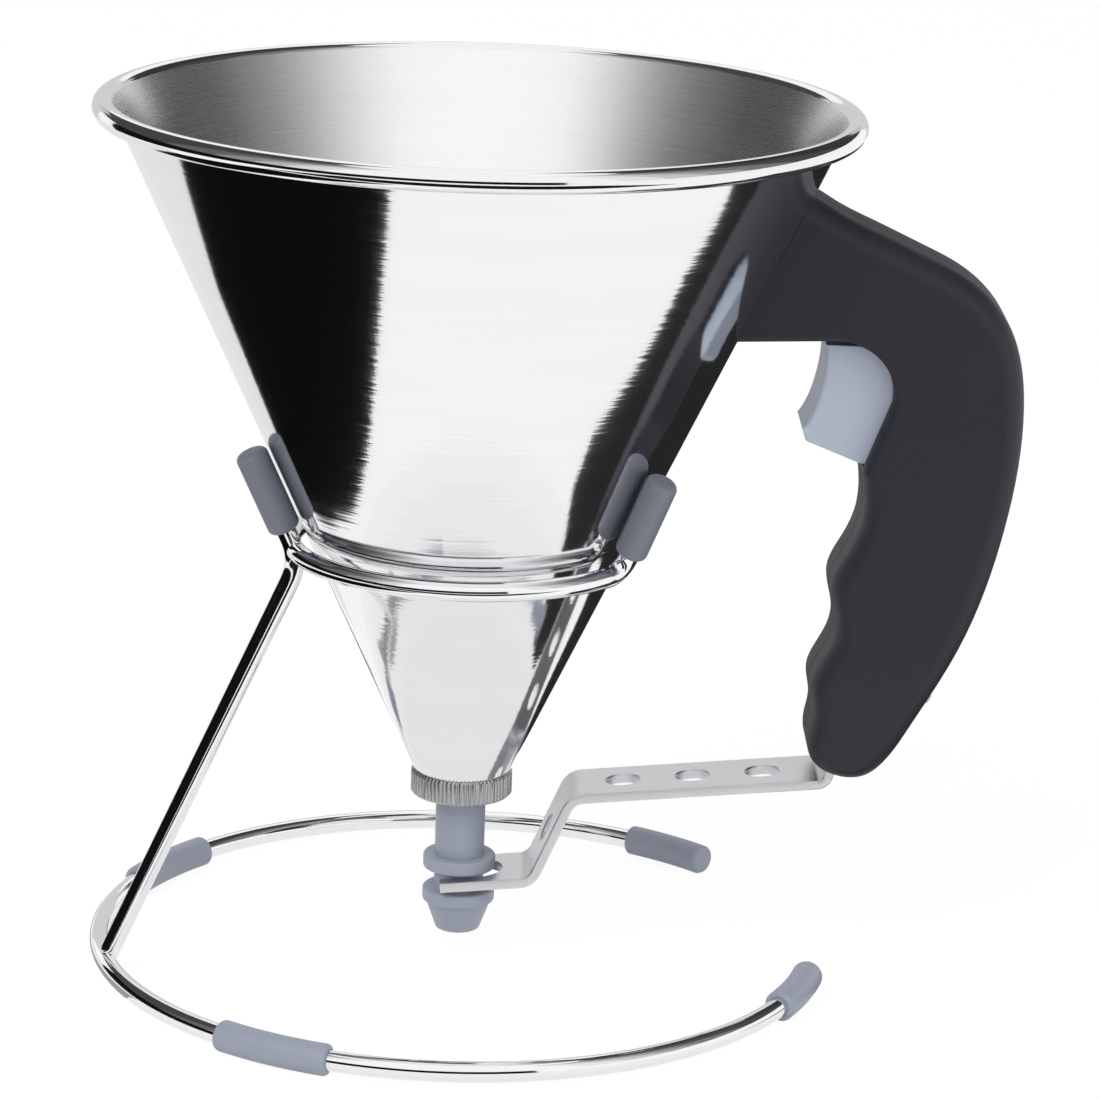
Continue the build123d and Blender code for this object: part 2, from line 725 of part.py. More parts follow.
with BuildPart() as trigger_pin:
    with BuildSketch(middle):
        with Locations((trigger_pin_x, trigger_pin_z)):
            Circle(trigger_pin_radius)
    extrude(amount=trigger_half_width - side_gap, both=True)
trigger_pin.part.label = "trigger_pin"
export_step(trigger_pin.part, "parts/trigger_pin.step")

# Handle: one shell drawn for the near side, finished as a left and a right half
with BuildSketch(middle) as handle_outline:
    with BuildLine():
        grip_line = Spline(*back_points, *bottom_points, *front_points)
        Line(nose, bay_start)
        TangentArc(bay_end, bay_start, tangent=(1, 0))
        Line(bay_end, arm_root)
        Line(arm_root, foot_top)
    make_face()
stop_point = grip_line @ stop_share
stop_along = grip_line % stop_share
stop_plane = Plane(
    origin=(axis_x + stop_point.X, 0, stop_point.Y),
    x_dir=(stop_along.X, 0, stop_along.Y),
    z_dir=(-stop_along.Y, 0, stop_along.X),
)
room_points = []
for n in range(room_samples + 1):
    place = grip_line @ (n / room_samples)
    along = grip_line % (n / room_samples)
    room_points.append((place.X + handle_wall * along.Y, place.Y - handle_wall * along.X))
room_bay_start = bay_point(bay_turn, bay_radius + handle_wall)
room_bay_end = bay_point(0, bay_radius + handle_wall)
sharp_corner = at_handle(sharp_x, sharp_rise)
with BuildSketch(middle) as sharp_part:
    with BuildLine():
        Polyline(
            nose,
            (sharp_corner[0], nose[1] + sharp_corner[0] - nose[0]),
            sharp_corner,
            (0, sharp_corner[1]),
            (0, nose[1]),
            close=True,
        )
    make_face()

window_half = trigger_half_width + side_gap
window_foot = trigger_foot_z - side_gap
window_front = trigger_front[-1][0] - handle_x
slot_half = strip_width / 2 + 2 * side_gap
slot_front = riser_face + riser_sway + side_gap
spring_z = handle_z - spring_drop
spring_end_x = handle_x + spring_seat_x
screw_places = bracket_screws + shell_screws

with BuildPart() as handle_shell:
    with BuildSketch(middle):
        add(handle_outline.sketch_local)
        add(sharp_part.sketch_local, mode=Mode.SUBTRACT)
    extrude(amount=handle_half_width)
    side_edges = handle_shell.faces().sort_by(Axis.Y)[0].edges()
    fillet(side_edges.filter_by(GeomType.BSPLINE), handle_rounding)
    with BuildSketch(middle):
        add(handle_outline.sketch_local)
        add(sharp_part.sketch_local, mode=Mode.INTERSECT)
    extrude(amount=handle_half_width)
    # The arm's root follows the cone
    with BuildSketch(middle):
        with BuildLine():
            Polyline(
                (0, handle_z - handle_sink),
                (cone_radius(handle_z - handle_sink) + weld_gap, handle_z - handle_sink),
                (cone_radius(rim_height) + weld_gap, rim_height),
                (0, rim_height),
                close=True,
            )
        make_face()
    revolve(axis=funnel_axis, mode=Mode.SUBTRACT)
    # Room inside
    with BuildSketch(middle):
        with BuildLine():
            Spline(*room_points)
            Line(room_points[-1], room_bay_start)
            TangentArc(room_bay_end, room_bay_start, tangent=(1, 0))
            Polyline(room_bay_end, (arm_root[0], room_bay_end[1]), room_points[0])
        make_face()
    extrude(amount=room_half_width, mode=Mode.SUBTRACT)
    # Openings for the trigger and for the lever
    with BuildSketch(middle):
        with Locations(at_handle(trigger_back_x, window_foot)):
            Rectangle(
                trigger_back_x - window_front,
                bay_top - window_foot - weld_gap,
                align=(Align.MAX, Align.MIN),
            )
    extrude(amount=window_half, mode=Mode.SUBTRACT)
    with BuildSketch(middle):
        with BuildLine():
            Polyline(
                on_riser(-pivot_boss_radius, -slot_front),
                on_riser(-pivot_boss_radius, riser_face + side_gap),
                on_riser(-2 * riser_top, riser_face + side_gap),
                on_riser(-2 * riser_top, -slot_front),
                close=True,
            )
        make_face()
    extrude(amount=slot_half, mode=Mode.SUBTRACT)
    # Stepped slot for the flow stop
    with BuildSketch(stop_plane.offset(-stop_plate_depth)):
        Rectangle(stop_length + 2 * (stop_travel + stop_gap), 2 * (stop_half_width + stop_gap))
    extrude(amount=2 * handle_wall, mode=Mode.SUBTRACT)
    with BuildSketch(stop_plane.offset(stop_gap - stop_plate_depth)):
        Rectangle(stop_plate_length + 2 * (stop_travel + stop_gap), 2 * (stop_plate_half_width + stop_gap))
    extrude(amount=-stop_plate_thickness - 2 * stop_gap, mode=Mode.SUBTRACT)
    # Bosses for the screws and the pivot, and the spring's seat
    with BuildSketch(middle.offset(bracket_thickness / 2 + weld_gap)):
        with Locations(bracket_screws):
            Circle(boss_radius)
    extrude(amount=room_half_width + boss_root - bracket_thickness / 2 - weld_gap)
    with BuildSketch(middle.offset(weld_gap)):
        with Locations(shell_screws):
            Circle(boss_radius)
        with Locations((spring_end_x, spring_z)):
            Rectangle(handle_wall, 2 * (spring_radius + spring_seat_edge), align=(Align.MIN, Align.CENTER))
    extrude(amount=room_half_width + boss_root - weld_gap)
    with BuildSketch(middle.offset(pivot_boss_half + side_gap)):
        with Locations((pivot_x, pivot_z)):
            Circle(pivot_boss_radius)
    extrude(amount=room_half_width + boss_root - pivot_boss_half - side_gap)
    with BuildSketch(middle):
        with Locations((pivot_x, pivot_z)):
            Circle(pivot_radius + weld_gap)
    extrude(amount=room_half_width + handle_side_wall / 2, mode=Mode.SUBTRACT)

with BuildPart() as handle_left:
    add(handle_shell.part)
    with BuildSketch(middle):
        with Locations(screw_places):
            Circle(screw_radius + screw_pilot_gap)
    extrude(amount=room_half_width, mode=Mode.SUBTRACT)
handle_left.part.label = "handle_left"
export_step(handle_left.part, "parts/handle_left.step")

screw_seat = handle_half_width - screw_head_depth - screw_head_height
with BuildPart() as handle_right:
    add(handle_shell.part)
    mirror(about=Plane.XZ, mode=Mode.REPLACE)
    with BuildSketch(middle):
        with Locations(screw_places):
            Circle(screw_radius + slide_fit)
    extrude(amount=-handle_half_width, mode=Mode.SUBTRACT)
    with BuildSketch(middle.offset(-screw_seat)):
        with Locations(screw_places):
            Circle(screw_head_radius + side_gap)
    extrude(amount=-handle_half_width, mode=Mode.SUBTRACT)
handle_right.part.label = "handle_right"
export_step(handle_right.part, "parts/handle_right.step")

with BuildPart() as handle_screws:
    with BuildSketch(middle.offset(-screw_seat - weld_gap)):
        with Locations(screw_places):
            Circle(screw_radius)
    extrude(amount=screw_length)
    with BuildSketch(middle.offset(-screw_seat - weld_gap)):
        with Locations(screw_places):
            Circle(screw_head_radius)
    extrude(amount=-screw_head_height)
handle_screws.part.label = "handle_screws"
export_step(handle_screws.part, "parts/handle_screws.step")

with BuildPart() as handle_bracket:
    with BuildSketch(middle):
        with BuildLine():
            Polyline(
                (cone_radius(handle_z + bracket_foot) + weld_gap, handle_z + bracket_foot),
                (cone_radius(handle_z + bracket_top) + weld_gap, handle_z + bracket_top),
                at_handle(bracket_reach, tang_top),
                at_handle(bracket_reach, tang_foot),
                close=True,
            )
        make_face()
        with Locations(bracket_screws):
            Circle(screw_radius + slide_fit, mode=Mode.SUBTRACT)
    extrude(amount=bracket_thickness / 2, both=True)
    with BuildSketch(middle):
        with BuildLine():
            Polyline(
                (0, handle_z),
                (cone_radius(handle_z) + weld_gap, handle_z),
                (cone_radius(rim_height) + weld_gap, rim_height),
                (0, rim_height),
                close=True,
            )
        make_face()
    revolve(axis=funnel_axis, mode=Mode.SUBTRACT)
handle_bracket.part.label = "handle_bracket"
export_step(handle_bracket.part, "parts/handle_bracket.step")

with BuildPart() as pivot_pin:
    with BuildSketch(middle):
        with Locations((pivot_x, pivot_z)):
            Circle(pivot_radius)
    extrude(amount=room_half_width + handle_side_wall / 2 - weld_gap, both=True)
pivot_pin.part.label = "pivot_pin"
export_step(pivot_pin.part, "parts/pivot_pin.step")

# Return spring between the arm and its seat, drawn as the sleeve that its turns fill
arm_back_x = (
    pivot_x
    + (spring_z - pivot_z) * arm_direction.X / arm_direction.Y
    + arm_width / 2 / arm_direction.Y
    + spring_radius * arm_direction.X / arm_direction.Y
)
spring_plane = Plane(origin=(axis_x + arm_back_x + slide_fit, 0, spring_z), x_dir=(0, 1, 0), z_dir=(1, 0, 0))
with BuildPart() as return_spring:
    with BuildSketch(spring_plane):
        Circle(spring_radius)
        Circle(spring_radius - spring_wire, mode=Mode.SUBTRACT)
    extrude(amount=spring_end_x - arm_back_x - 2 * slide_fit)
return_spring.part.label = "return_spring"
export_step(return_spring.part, "parts/return_spring.step")

# Flow stop: a nub on a plate in the back's stepped slot
with BuildPart() as flow_stop:
    with BuildSketch(stop_plane.offset(-stop_plate_depth)):
        Rectangle(stop_plate_length, 2 * stop_plate_half_width)
    extrude(amount=-stop_plate_thickness)
    with BuildSketch(stop_plane.offset(-stop_plate_depth)):
        Rectangle(stop_length, 2 * stop_half_width)
    extrude(amount=stop_plate_depth + stop_nub)
flow_stop.part.label = "flow_stop"
export_step(flow_stop.part, "parts/flow_stop.step")
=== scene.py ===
"""Finished pieces of a piston funnel on its wire stand, with a white stage and the photo's camera."""

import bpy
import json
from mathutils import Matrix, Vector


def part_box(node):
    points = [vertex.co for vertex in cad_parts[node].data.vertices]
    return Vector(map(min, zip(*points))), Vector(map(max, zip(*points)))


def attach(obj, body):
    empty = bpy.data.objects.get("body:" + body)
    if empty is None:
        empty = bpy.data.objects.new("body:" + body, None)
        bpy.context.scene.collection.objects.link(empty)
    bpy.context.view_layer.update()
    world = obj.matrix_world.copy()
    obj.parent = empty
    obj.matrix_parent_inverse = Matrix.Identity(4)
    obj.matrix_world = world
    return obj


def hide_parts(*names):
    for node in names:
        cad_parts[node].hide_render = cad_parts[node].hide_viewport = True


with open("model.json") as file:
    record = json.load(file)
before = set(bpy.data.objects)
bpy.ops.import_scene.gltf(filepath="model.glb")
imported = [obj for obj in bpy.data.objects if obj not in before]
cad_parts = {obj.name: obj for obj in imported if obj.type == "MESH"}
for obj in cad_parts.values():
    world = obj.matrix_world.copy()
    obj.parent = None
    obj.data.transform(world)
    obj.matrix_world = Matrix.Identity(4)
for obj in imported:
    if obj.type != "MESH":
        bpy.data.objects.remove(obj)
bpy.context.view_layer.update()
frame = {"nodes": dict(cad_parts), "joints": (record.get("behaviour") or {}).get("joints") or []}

import json
import math

import bmesh
import bpy
import numpy as np
from bpy.props import FloatProperty, FloatVectorProperty, IntProperty, PointerProperty
from mathutils import Matrix, Quaternion, Vector

bl_info = {
    "name": "Piston Funnel",
    "version": (1, 0, 0),
    "blender": (4, 5, 0),
    "location": "3D View > Sidebar > Funnel",
    "description": "Builds the finished pieces of a piston funnel and its wire stand over their solids",
    "category": "Object",
}

mm = 0.001
joints = {joint["name"]: joint for joint in frame["joints"]}
nodes = frame["nodes"]

# The funnel's upright axis, which the nut turns about
axis = Vector((joints["nut_turn"]["pos_m"][0], 0, 0))

# Outlines in the handle's plane, in millimetres from where the arm's underside meets the cone
handle_back = (
    (8.08, 30.6), (13.1, 28.6), (18.6, 25.4), (26.2, 21.8), (36.2, 17.2), (41.0, 14.9), (47.1, 10.8),
    (52.7, 3.6), (56.1, -11.4), (53.8, -36.6), (46.2, -61.4), (37.1, -78.3), (33.1, -84.6),
)
handle_bottom = ((28.6, -88.3), (22.3, -88.2), (18.3, -85.8))
handle_front = (
    (16.9, -81.3), (17.7, -75.3), (17.0, -69.9), (19.1, -64.6), (21.4, -57.4),
    (20.1, -49.1), (23.0, -42.4), (25.6, -34.5), (25.0, -24.8),
)
arm_root = ((-6, 0), (-6, 33))
trigger_front = ((16.7, -0.4), (16.7, -4.0), (16.0, -9.0), (14.6, -13.8), (12.8, -17.4))
trigger_toe = ((13.6, -19.8), (24.6, -24.1))
trigger_back = ((38.0, -24.1), (38.0, -6.8), (30.7, -0.4))
trigger_slot = ((29.7, 2), (45, 2), (45, -30), (29.7, -30))
trigger_pin_place = (34.4, -16.7)
window_corners = ((12.8, -24.5), (38.0, -24.5), (38.0, 0.97), (12.8, 0.97))
screw_places = ((10.5, 14.0), (19.7, 12.5), (49.8, -13.7), (41.7, -56.9))
pivot_place = (29.6, -76.6)

# Half length, half width, low and high of the flow stop's plate and of its openings, in millimetres
stop_plate = (2.6, 3.2, -2.3, -1.3)
stop_opening = (3.04, 1.72, -1.3, 4)
stop_pocket = (4.22, 3.32, -2.42, -1.18)
nub_height = 1.9

# Points of the grip's line for each of its spans
grip_steps = 8

# Clearance of pieces that touch, hole of the pins and half the room of the lever's arm
fit = 0.03 * mm
pin_hole = 1.53 * mm
arm_half = 1.53 * mm


def node_radius(name):
    """Largest radius of a turned node about the funnel's axis."""
    low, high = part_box(name)
    return (high.y - low.y) / 2


cone_low, cone_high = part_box("cone")
nut_low, nut_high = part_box("nozzle_nut")
spout_low, spout_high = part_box("spout")
ring_low, ring_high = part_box("base_ring")
strip_low, strip_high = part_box("lever_bar")
shell_low, shell_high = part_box("handle_left")


# Sizes and colours that the sidebar shows


def length(description, size):
    """A length property whose default is given in millimetres."""
    return FloatProperty(description=description, default=size * mm, unit="LENGTH", precision=5)


def angle(description, size):
    """An angle property whose default is given in degrees."""
    return FloatProperty(description=description, default=math.radians(size), unit="ROTATION")


def share(description, size):
    """A property between 0 and 1."""
    return FloatProperty(description=description, default=size, min=0, max=1, subtype="FACTOR")


def colour(description, value):
    """A colour property whose default is linear red, green and blue."""
    return FloatVectorProperty(
        description=description, default=value, size=3, min=0, max=1, subtype="COLOR"
    )


def position(description, values):
    """A point property whose default is given in millimetres."""
    default = [value * mm for value in values]
    return FloatVectorProperty(description=description, default=default, size=3, unit="LENGTH", precision=5)


class FunnelSizes(bpy.types.PropertyGroup):
    """Sizes of the cone, the nut and the spout."""

    foot_radius: length("Outside radius of the cone at its lower edge", 9.7)
    top_radius: length("Outside radius of the cone at the rim's centre", 71.25)
    rim_height: length("Height of the rolled rim's centre", cone_high.z / mm - 2.2)
    roll_radius: length("Outside radius of the rolled rim", 2.2)
    wall: length("Thickness of the cone's sheet", 0.8)
    roll_opening: angle("Part of the roll left open under the rim", 66)
    nut_bore: length("Radius of the nut's bore", 7.1)
    nut_chamfer: length("Chamfer of the nut's edges", 0.45)
    rib_depth: length("Depth of the nut's grooves", 0.34)
    rib_count: IntProperty(description="Number of ribs round the nut", default=72, min=12)
    spout_bore: length("Radius of the outlet", 3.0)
    spigot_bore: length("Radius of the socket that holds the piston's end", 4.03)
    tip_radius: length("Radius of the spout's tip", 4.4)
    groove_radius: length("Radius of the groove for the fork", 5.0)


class StandSizes(bpy.types.PropertyGroup):
    """Sizes of the wire stand."""

    turn: angle("Angle from the handle's plane to the stand's middle", 15.3)
    base_gap: angle("Angle from the stand's middle to each end of the base", 28.5)
    cap_span: angle("Angle that an end cap covers", 15.5)
    cap_end: angle("Angle of solid cap past the wire", 2.6)
    sleeve_centre: angle("Angle from the upright to a sleeve's middle", 46.5)
    sleeve_span: angle("Angle that a sleeve covers", 19.0)
    sleeve_radius: length("Radius of the sleeves and caps", 3.1)
    sleeve_rounding: length("Rounding of the sleeves' and caps' ends", 0.8)
    cradle_height: length("Height of the ring round the cone", 86.0)
    cradle_gap: angle("Angle from the stand's middle to each cradle pad", 48.0)
    cradle_bend: length("Bend radius of the cradle's upturned ends", 4.0)
    elbow_drop: length("Drop of the upright's elbow below the cradle", 2.0)
    elbow_radius: length("Bend radius of the upright's elbow", 10.0)
    pad_radius: length("Radius of the pads", 3.25)
    pad_length: length("Length of the pads", 17.6)
    pad_bore: length("Depth of the pads' bores", 14.0)
    pad_rounding: length("Rounding of the pads' ends", 1.2)
    pad_lead: length("Bare wire below a pad", 0.8)
    pad_clearance: length("Gap between a pad and the cone", 0.3)


class HandleSizes(bpy.types.PropertyGroup):
    """Sizes of the handle, the trigger and the lever."""

    drop: length("From the rim's centre down to the arm's underside", 42.0)
    wall: length("Wall of the handle's shells", 3.2)
    room_half: length("Half width of the room inside the handle", 9.0)
    back_depth: length("How far the back's rounding reaches in from the back", 4.4)
    back_reach: length("How far the back's rounding reaches in from the side", 6.0)
    front_depth: length("How far the grip's front rounding reaches in from the front", 3.2)
    front_reach: length("How far the grip's front rounding reaches in from the side", 5.4)
    edge_rounding: length("Rounding of the crisp edges round the bay", 0.5)
    parting: length("Chamfer of the shells' edges at the parting line", 0.16)
    bay_x: length("Bay's centre behind the cone", 19.5)
    bay_top: length("Top of the bay above the arm's root", 1.0)
    bay_radius: length("Radius of the hollow above the trigger", 10.6)
    window_half: length("Half width of the trigger's window", 7.9)
    trigger_half: length("Half width of the trigger", 7.5)
    trigger_rounding: length("Rounding of the trigger's front edges", 1.1)
    strip_thickness: length("Thickness of the lever's strip", 2.0)
    strip_rounding: length("Rounding of the strip's edges", 0.35)
    lever_tilt: angle("Tilt of the fork and the long run at rest", 5.5)
    hole_radius: length("Radius of the holes in the long run", 3.4)
    sloped_hole: length("Radius of the hole in the sloped run", 3.0)


class Colours(bpy.types.PropertyGroup):
    """Colours of the finishes."""

    polished: colour("Outside of the cone", (0.88, 0.88, 0.89))
    brushed: colour("Inside of the cone", (0.975, 0.98, 1.0))
    chrome: colour("Wire of the stand", (0.90, 0.905, 0.915))
    strip: colour("Lever's strip", (0.76, 0.76, 0.785))
    nut: colour("Steel of the nut", (0.5, 0.495, 0.49))
    steel: colour("Pins, rivets, screws and spring", (0.55, 0.55, 0.56))
    plastic: colour("Spout, sleeves and caps", (0.30, 0.325, 0.40))
    # The pads' grey is the sleeves' plastic darkened as painted shade
    pad: colour("Pads against the cone", (0.165, 0.178, 0.22))
    trigger: colour("Trigger and flow stop", (0.46, 0.51, 0.61))
    handle: colour("Moulded shells of the handle", (0.0168, 0.0165, 0.0265))
    rubber: colour("Seals", (0.03, 0.03, 0.03))


class StageSizes(bpy.types.PropertyGroup):
    """The camera's place and the light's level."""

    eye: position("Place of the camera", (-14.82, -832.86, 315.9))
    aim: position("Point that the camera looks at", (-0.29, -0.28, 85.11))
    roll: angle("Turn of the camera about its line of sight", 1.99)
    lens: FloatProperty(description="Focal length on a 36 mm frame", default=142.13)
    ambient: share("Light from all round on matte surfaces", 0.7)
    key_power: FloatProperty(description="Power of the main lamp", default=7.0, unit="POWER")
    fill_power: FloatProperty(description="Power of the side lamp", default=2.5, unit="POWER")
    shadow: share("Strength of the shadow on the floor", 0.1)
    card_turn: angle("Turn of the cards and walls about the funnel", 4.0)


class FunnelSettings(bpy.types.PropertyGroup):
    """All settings of the funnel."""

    funnel: PointerProperty(type=FunnelSizes)
    stand: PointerProperty(type=StandSizes)
    handle: PointerProperty(type=HandleSizes)
    colours: PointerProperty(type=Colours)
    stage: PointerProperty(type=StageSizes)


def settings():
    """The scene's settings."""
    return bpy.context.scene.piston_funnel


# Shader nodes


class Shade:
    """An output of a shader node that takes part in arithmetic."""

    def __init__(self, finish, socket):
        self.finish = finish
        self.socket = socket

    def __add__(self, other):
        return self.finish.maths("ADD", self, other)

    def __mul__(self, other):
        return self.finish.maths("MULTIPLY", self, other)

    __radd__ = __add__


class Finish:
    """Nodes of one material or of the world."""

    def __init__(self, block):
        block.use_nodes = True
        self.tree = block.node_tree
        self.tree.nodes.clear()

    def node(self, kind, sockets=None, output=0, **options):
        """Adds a node, sets its options, fills or links its sockets and gives one of its outputs."""
        made = self.tree.nodes.new(kind)
        for key, value in options.items():
            setattr(made, key, value)
        for key, value in (sockets or {}).items():
            if isinstance(value, Shade):
                self.tree.links.new(value.socket, made.inputs[key])
            else:
                made.inputs[key].default_value = value
        if not made.outputs:
            return None
        return Shade(self, made.outputs[output])

    def maths(self, operation, first, second):
        """A Math node on two values."""
        return self.node("ShaderNodeMath", {0: first, 1: second}, operation=operation)

    def places(self):
        """Coordinates in the object's own frame, which is the solids' frame."""
        return self.node("ShaderNodeTexCoord", None, "Object")

    def parts(self, vector):
        """The X, Y and Z of a vector."""
        return [self.node("ShaderNodeSeparateXYZ", {0: vector}, part) for part in "XYZ"]

    def around(self):
        """Angle about the funnel's axis and height above the table."""
        sockets = {0: self.places(), 1: tuple(axis)}
        x, y, z = self.parts(self.node("ShaderNodeVectorMath", sockets, operation="SUBTRACT"))
        return self.maths("ARCTAN2", y, x), z

    def noise(self, place, scale, detail=2.0, roughness=0.5):
        """Noise from 0 to 1 at a place."""
        sockets = {"Vector": place, "Scale": scale, "Detail": detail, "Roughness": roughness}
        return self.node("ShaderNodeTexNoise", sockets, "Fac")

    def stretched(self, x, y, z, detail=2.0, roughness=0.5):
        """Noise from 0 to 1 at a place that is given by its three parts."""
        place = self.node("ShaderNodeCombineXYZ", {"X": x, "Y": y, "Z": z})
        return self.noise(place, 1.0, detail, roughness)

    def tint(self, base, amount, value):
        """A colour that a value from 0 to 1 makes darker or lighter by an amount."""
        dark = [channel * (1 - amount) for channel in base]
        light = [min(channel * (1 + amount), 1) for channel in base]
        return self.node("ShaderNodeMix", {0: value, 6: (*dark, 1), 7: (*light, 1)}, 2, data_type="RGBA")

    def coat(self, shade, spread, roughness, relief, more=None):
        """A surface in one of the settings' colours.

        The spread is an amount and the value from 0 to 1 that it goes by.
        The relief is a height from 0 to 1, a strength and the depth of the whole height in millimetres.
        """
        height, strength, depth = relief
        bump = {"Height": height, "Strength": strength, "Distance": depth * mm}
        self.surface({
            "Base Color": self.tint(getattr(settings().colours, shade), *spread),
            "Roughness": roughness,
            "Normal": self.node("ShaderNodeBump", bump),
            **(more or {}),
        })

    def surface(self, sockets):
        """A Principled surface as the material's output."""
        shader = self.node("ShaderNodeBsdfPrincipled", sockets)
        self.node("ShaderNodeOutputMaterial", {"Surface": shader})


metal = {"Metallic": 1.0}
spun_metal = {"Metallic": 1.0, "Anisotropic": 0.3}


def finish_of(build):
    """The material of a finish, built the first time that it is asked for."""
    look = f"{build.__name__}_look"
    material = bpy.data.materials.get(look)
    if material is None:
        material = bpy.data.materials.new(look)
        build(Finish(material))
    return material


def polished_cone(finish):
    """Polished steel with fine turned lines round the cone."""
    turn, height = finish.around()
    lines = finish.stretched(turn * 0.4, height * 760, 0, 2.0, 0.6)
    waves = finish.stretched(turn * 0.9, height * 160, 3.0)
    relief = lines * 0.9 + waves * 0.1
    finish.coat("polished", (0.04, waves), 0.05 + lines * 0.06, (relief, 1.0, 0.02), spun_metal)


def brushed_cone(finish):
    """Steel brushed round the inside of the cone."""
    turn, height = finish.around()
    lines = finish.stretched(turn * 0.5, height * 1900, 7.0, 4.0, 0.7)
    streaks = finish.stretched(turn * 1.2, height * 260, 1.0, 3.0)
    both = lines * 0.6 + streaks * 0.4
    finish.coat("brushed", (0.10, both), 0.22 + lines * 0.10, (both, 0.5, 0.03), spun_metal)


def chrome_wire(finish):
    """Bright chrome with faint drawing marks."""
    haze = finish.noise(finish.places(), 420.0, 3.0)
    finish.coat("chrome", (0.03, haze), 0.04 + haze * 0.05, (haze, 0.06, 0.05), metal)


def satin_strip(finish):
    """Satin sheet steel with a grain along the strip."""
    place = finish.places()
    x, y, z = finish.parts(place)
    grain = finish.stretched(x * 60, y * 3200, z * 60, 3.0, 0.6)
    cloud = finish.noise(place, 130.0, 3.0)
    roughness = 0.30 + grain * 0.12 + cloud * 0.06
    finish.coat("strip", (0.06, cloud), roughness, (grain, 0.15, 0.03), metal)


def turned_nut(finish):
    """Turned steel with a slightly uneven face."""
    turn, height = finish.around()
    lines = finish.stretched(turn * 2.0, height * 2600, 0, 3.0)
    spots = finish.noise(finish.places(), 900.0, 3.0)
    relief = lines * 0.5 + spots * 0.5
    finish.coat("nut", (0.12, spots), 0.24 + lines * 0.16, (relief, 0.3, 0.05), metal)


def plain_steel(finish):
    """Plated steel of the small pieces."""
    spots = finish.noise(finish.places(), 700.0, 4.0)
    finish.coat("steel", (0.08, spots), 0.28 + spots * 0.15, (spots, 0.15, 0.05), metal)


def grey_plastic(finish):
    """Grey plastic of the spout, the sleeves and the caps."""
    moulded(finish, "plastic")


def pad_plastic(finish):
    """Plastic of the pads: the sleeves' grey plastic, darkened as painted shade."""
    moulded(finish, "pad")


def trigger_plastic(finish):
    """Lighter plastic of the trigger and the flow stop."""
    moulded(finish, "trigger")


def moulded(finish, shade):
    """Moulded plastic of one shade with a fine matte skin."""
    place = finish.places()
    skin = finish.noise(place, 2600.0)
    cloud = finish.noise(place, 140.0)
    spread = (0.05, cloud * 0.7 + skin * 0.3)
    finish.coat(shade, spread, 0.38 + skin * 0.14, (skin, 0.12, 0.06), {"Specular IOR Level": 0.45})


def dark_plastic(finish):
    """Moulded near-black plastic with a fine grain."""
    place = finish.places()
    grain = finish.noise(place, 1500.0, 3.0, 0.6)
    cloud = finish.noise(place, 60.0)
    spread = (0.15, cloud * 0.5 + grain * 0.5)
    finish.coat("handle", spread, 0.46 + grain * 0.16, (grain, 0.35, 0.08), {"Specular IOR Level": 0.4})


def seal_rubber(finish):
    """Soft black rubber."""
    bloom = finish.noise(finish.places(), 800.0, 3.0)
    finish.coat("rubber", (0.2, bloom), 0.62 + bloom * 0.2, (bloom, 0.2, 0.05))


# Mesh tools


def loft(rings, closed=False):
    """A closed mesh through rings of as many points each, capped at its ends or joined into a loop."""
    mesh = bmesh.new()
    made = [[mesh.verts.new(point) for point in ring] for ring in rings]
    pairs = list(zip(made, made[1:]))
    if closed:
        pairs.append((made[-1], made[0]))
    for ring, following in pairs:
        for n in range(len(ring)):
            mesh.faces.new((ring[n - 1], ring[n], following[n], following[n - 1]))
    if not closed:
        mesh.faces.new(made[0])
        mesh.faces.new(made[-1])
    bmesh.ops.recalc_face_normals(mesh, faces=mesh.faces)
    return mesh


def turned(profile, steps, depth_at=None):
    """A ring turned about the funnel's axis from a closed profile of radii and heights."""
    rings = []
    for n in range(steps):
        turn = math.tau * n / steps
        ring = []
        for radius, height in profile:
            if depth_at:
                radius -= depth_at(n, radius)
            ring.append(axis + Vector((radius * math.cos(turn), radius * math.sin(turn), height)))
        rings.append(ring)
    return loft(rings, closed=True)


def arc_points(centre, radius, start, sweep, steps):
    """Points on an arc in a plane, from one end to the other, with angles in radians."""
    turns = [start + sweep * n / steps for n in range(steps + 1)]
    return [(centre[0] + radius * math.cos(t), centre[1] + radius * math.sin(t)) for t in turns]


def rounded(corners, step=math.radians(12), closed=True):
    """An outline through corners, each an x, a y and a rounding radius."""
    outline = []
    for n, (x, y, radius) in enumerate(corners):
        corner = Vector((x, y))
        before = Vector(corners[n - 1][:2]) - corner
        after = Vector(corners[(n + 1) % len(corners)][:2]) - corner
        at_end = not closed and n in (0, len(corners) - 1)
        opening = 0 if at_end else before.angle(after)
        if at_end or radius == 0 or math.pi - opening < 1e-4:
            outline.append((x, y))
            continue
        halfway = (before.normalized() + after.normalized()).normalized()
        centre = corner + halfway * radius / math.sin(opening / 2)
        reach = radius / math.tan(opening / 2)
        first = corner + before.normalized() * reach - centre
        last = corner + after.normalized() * reach - centre
        start = math.atan2(first.y, first.x)
        sweep = math.remainder(math.atan2(last.y, last.x) - start, math.tau)
        steps = max(2, math.ceil(abs(sweep) / step))
        outline += arc_points(centre, radius, start, sweep, steps)
    return outline


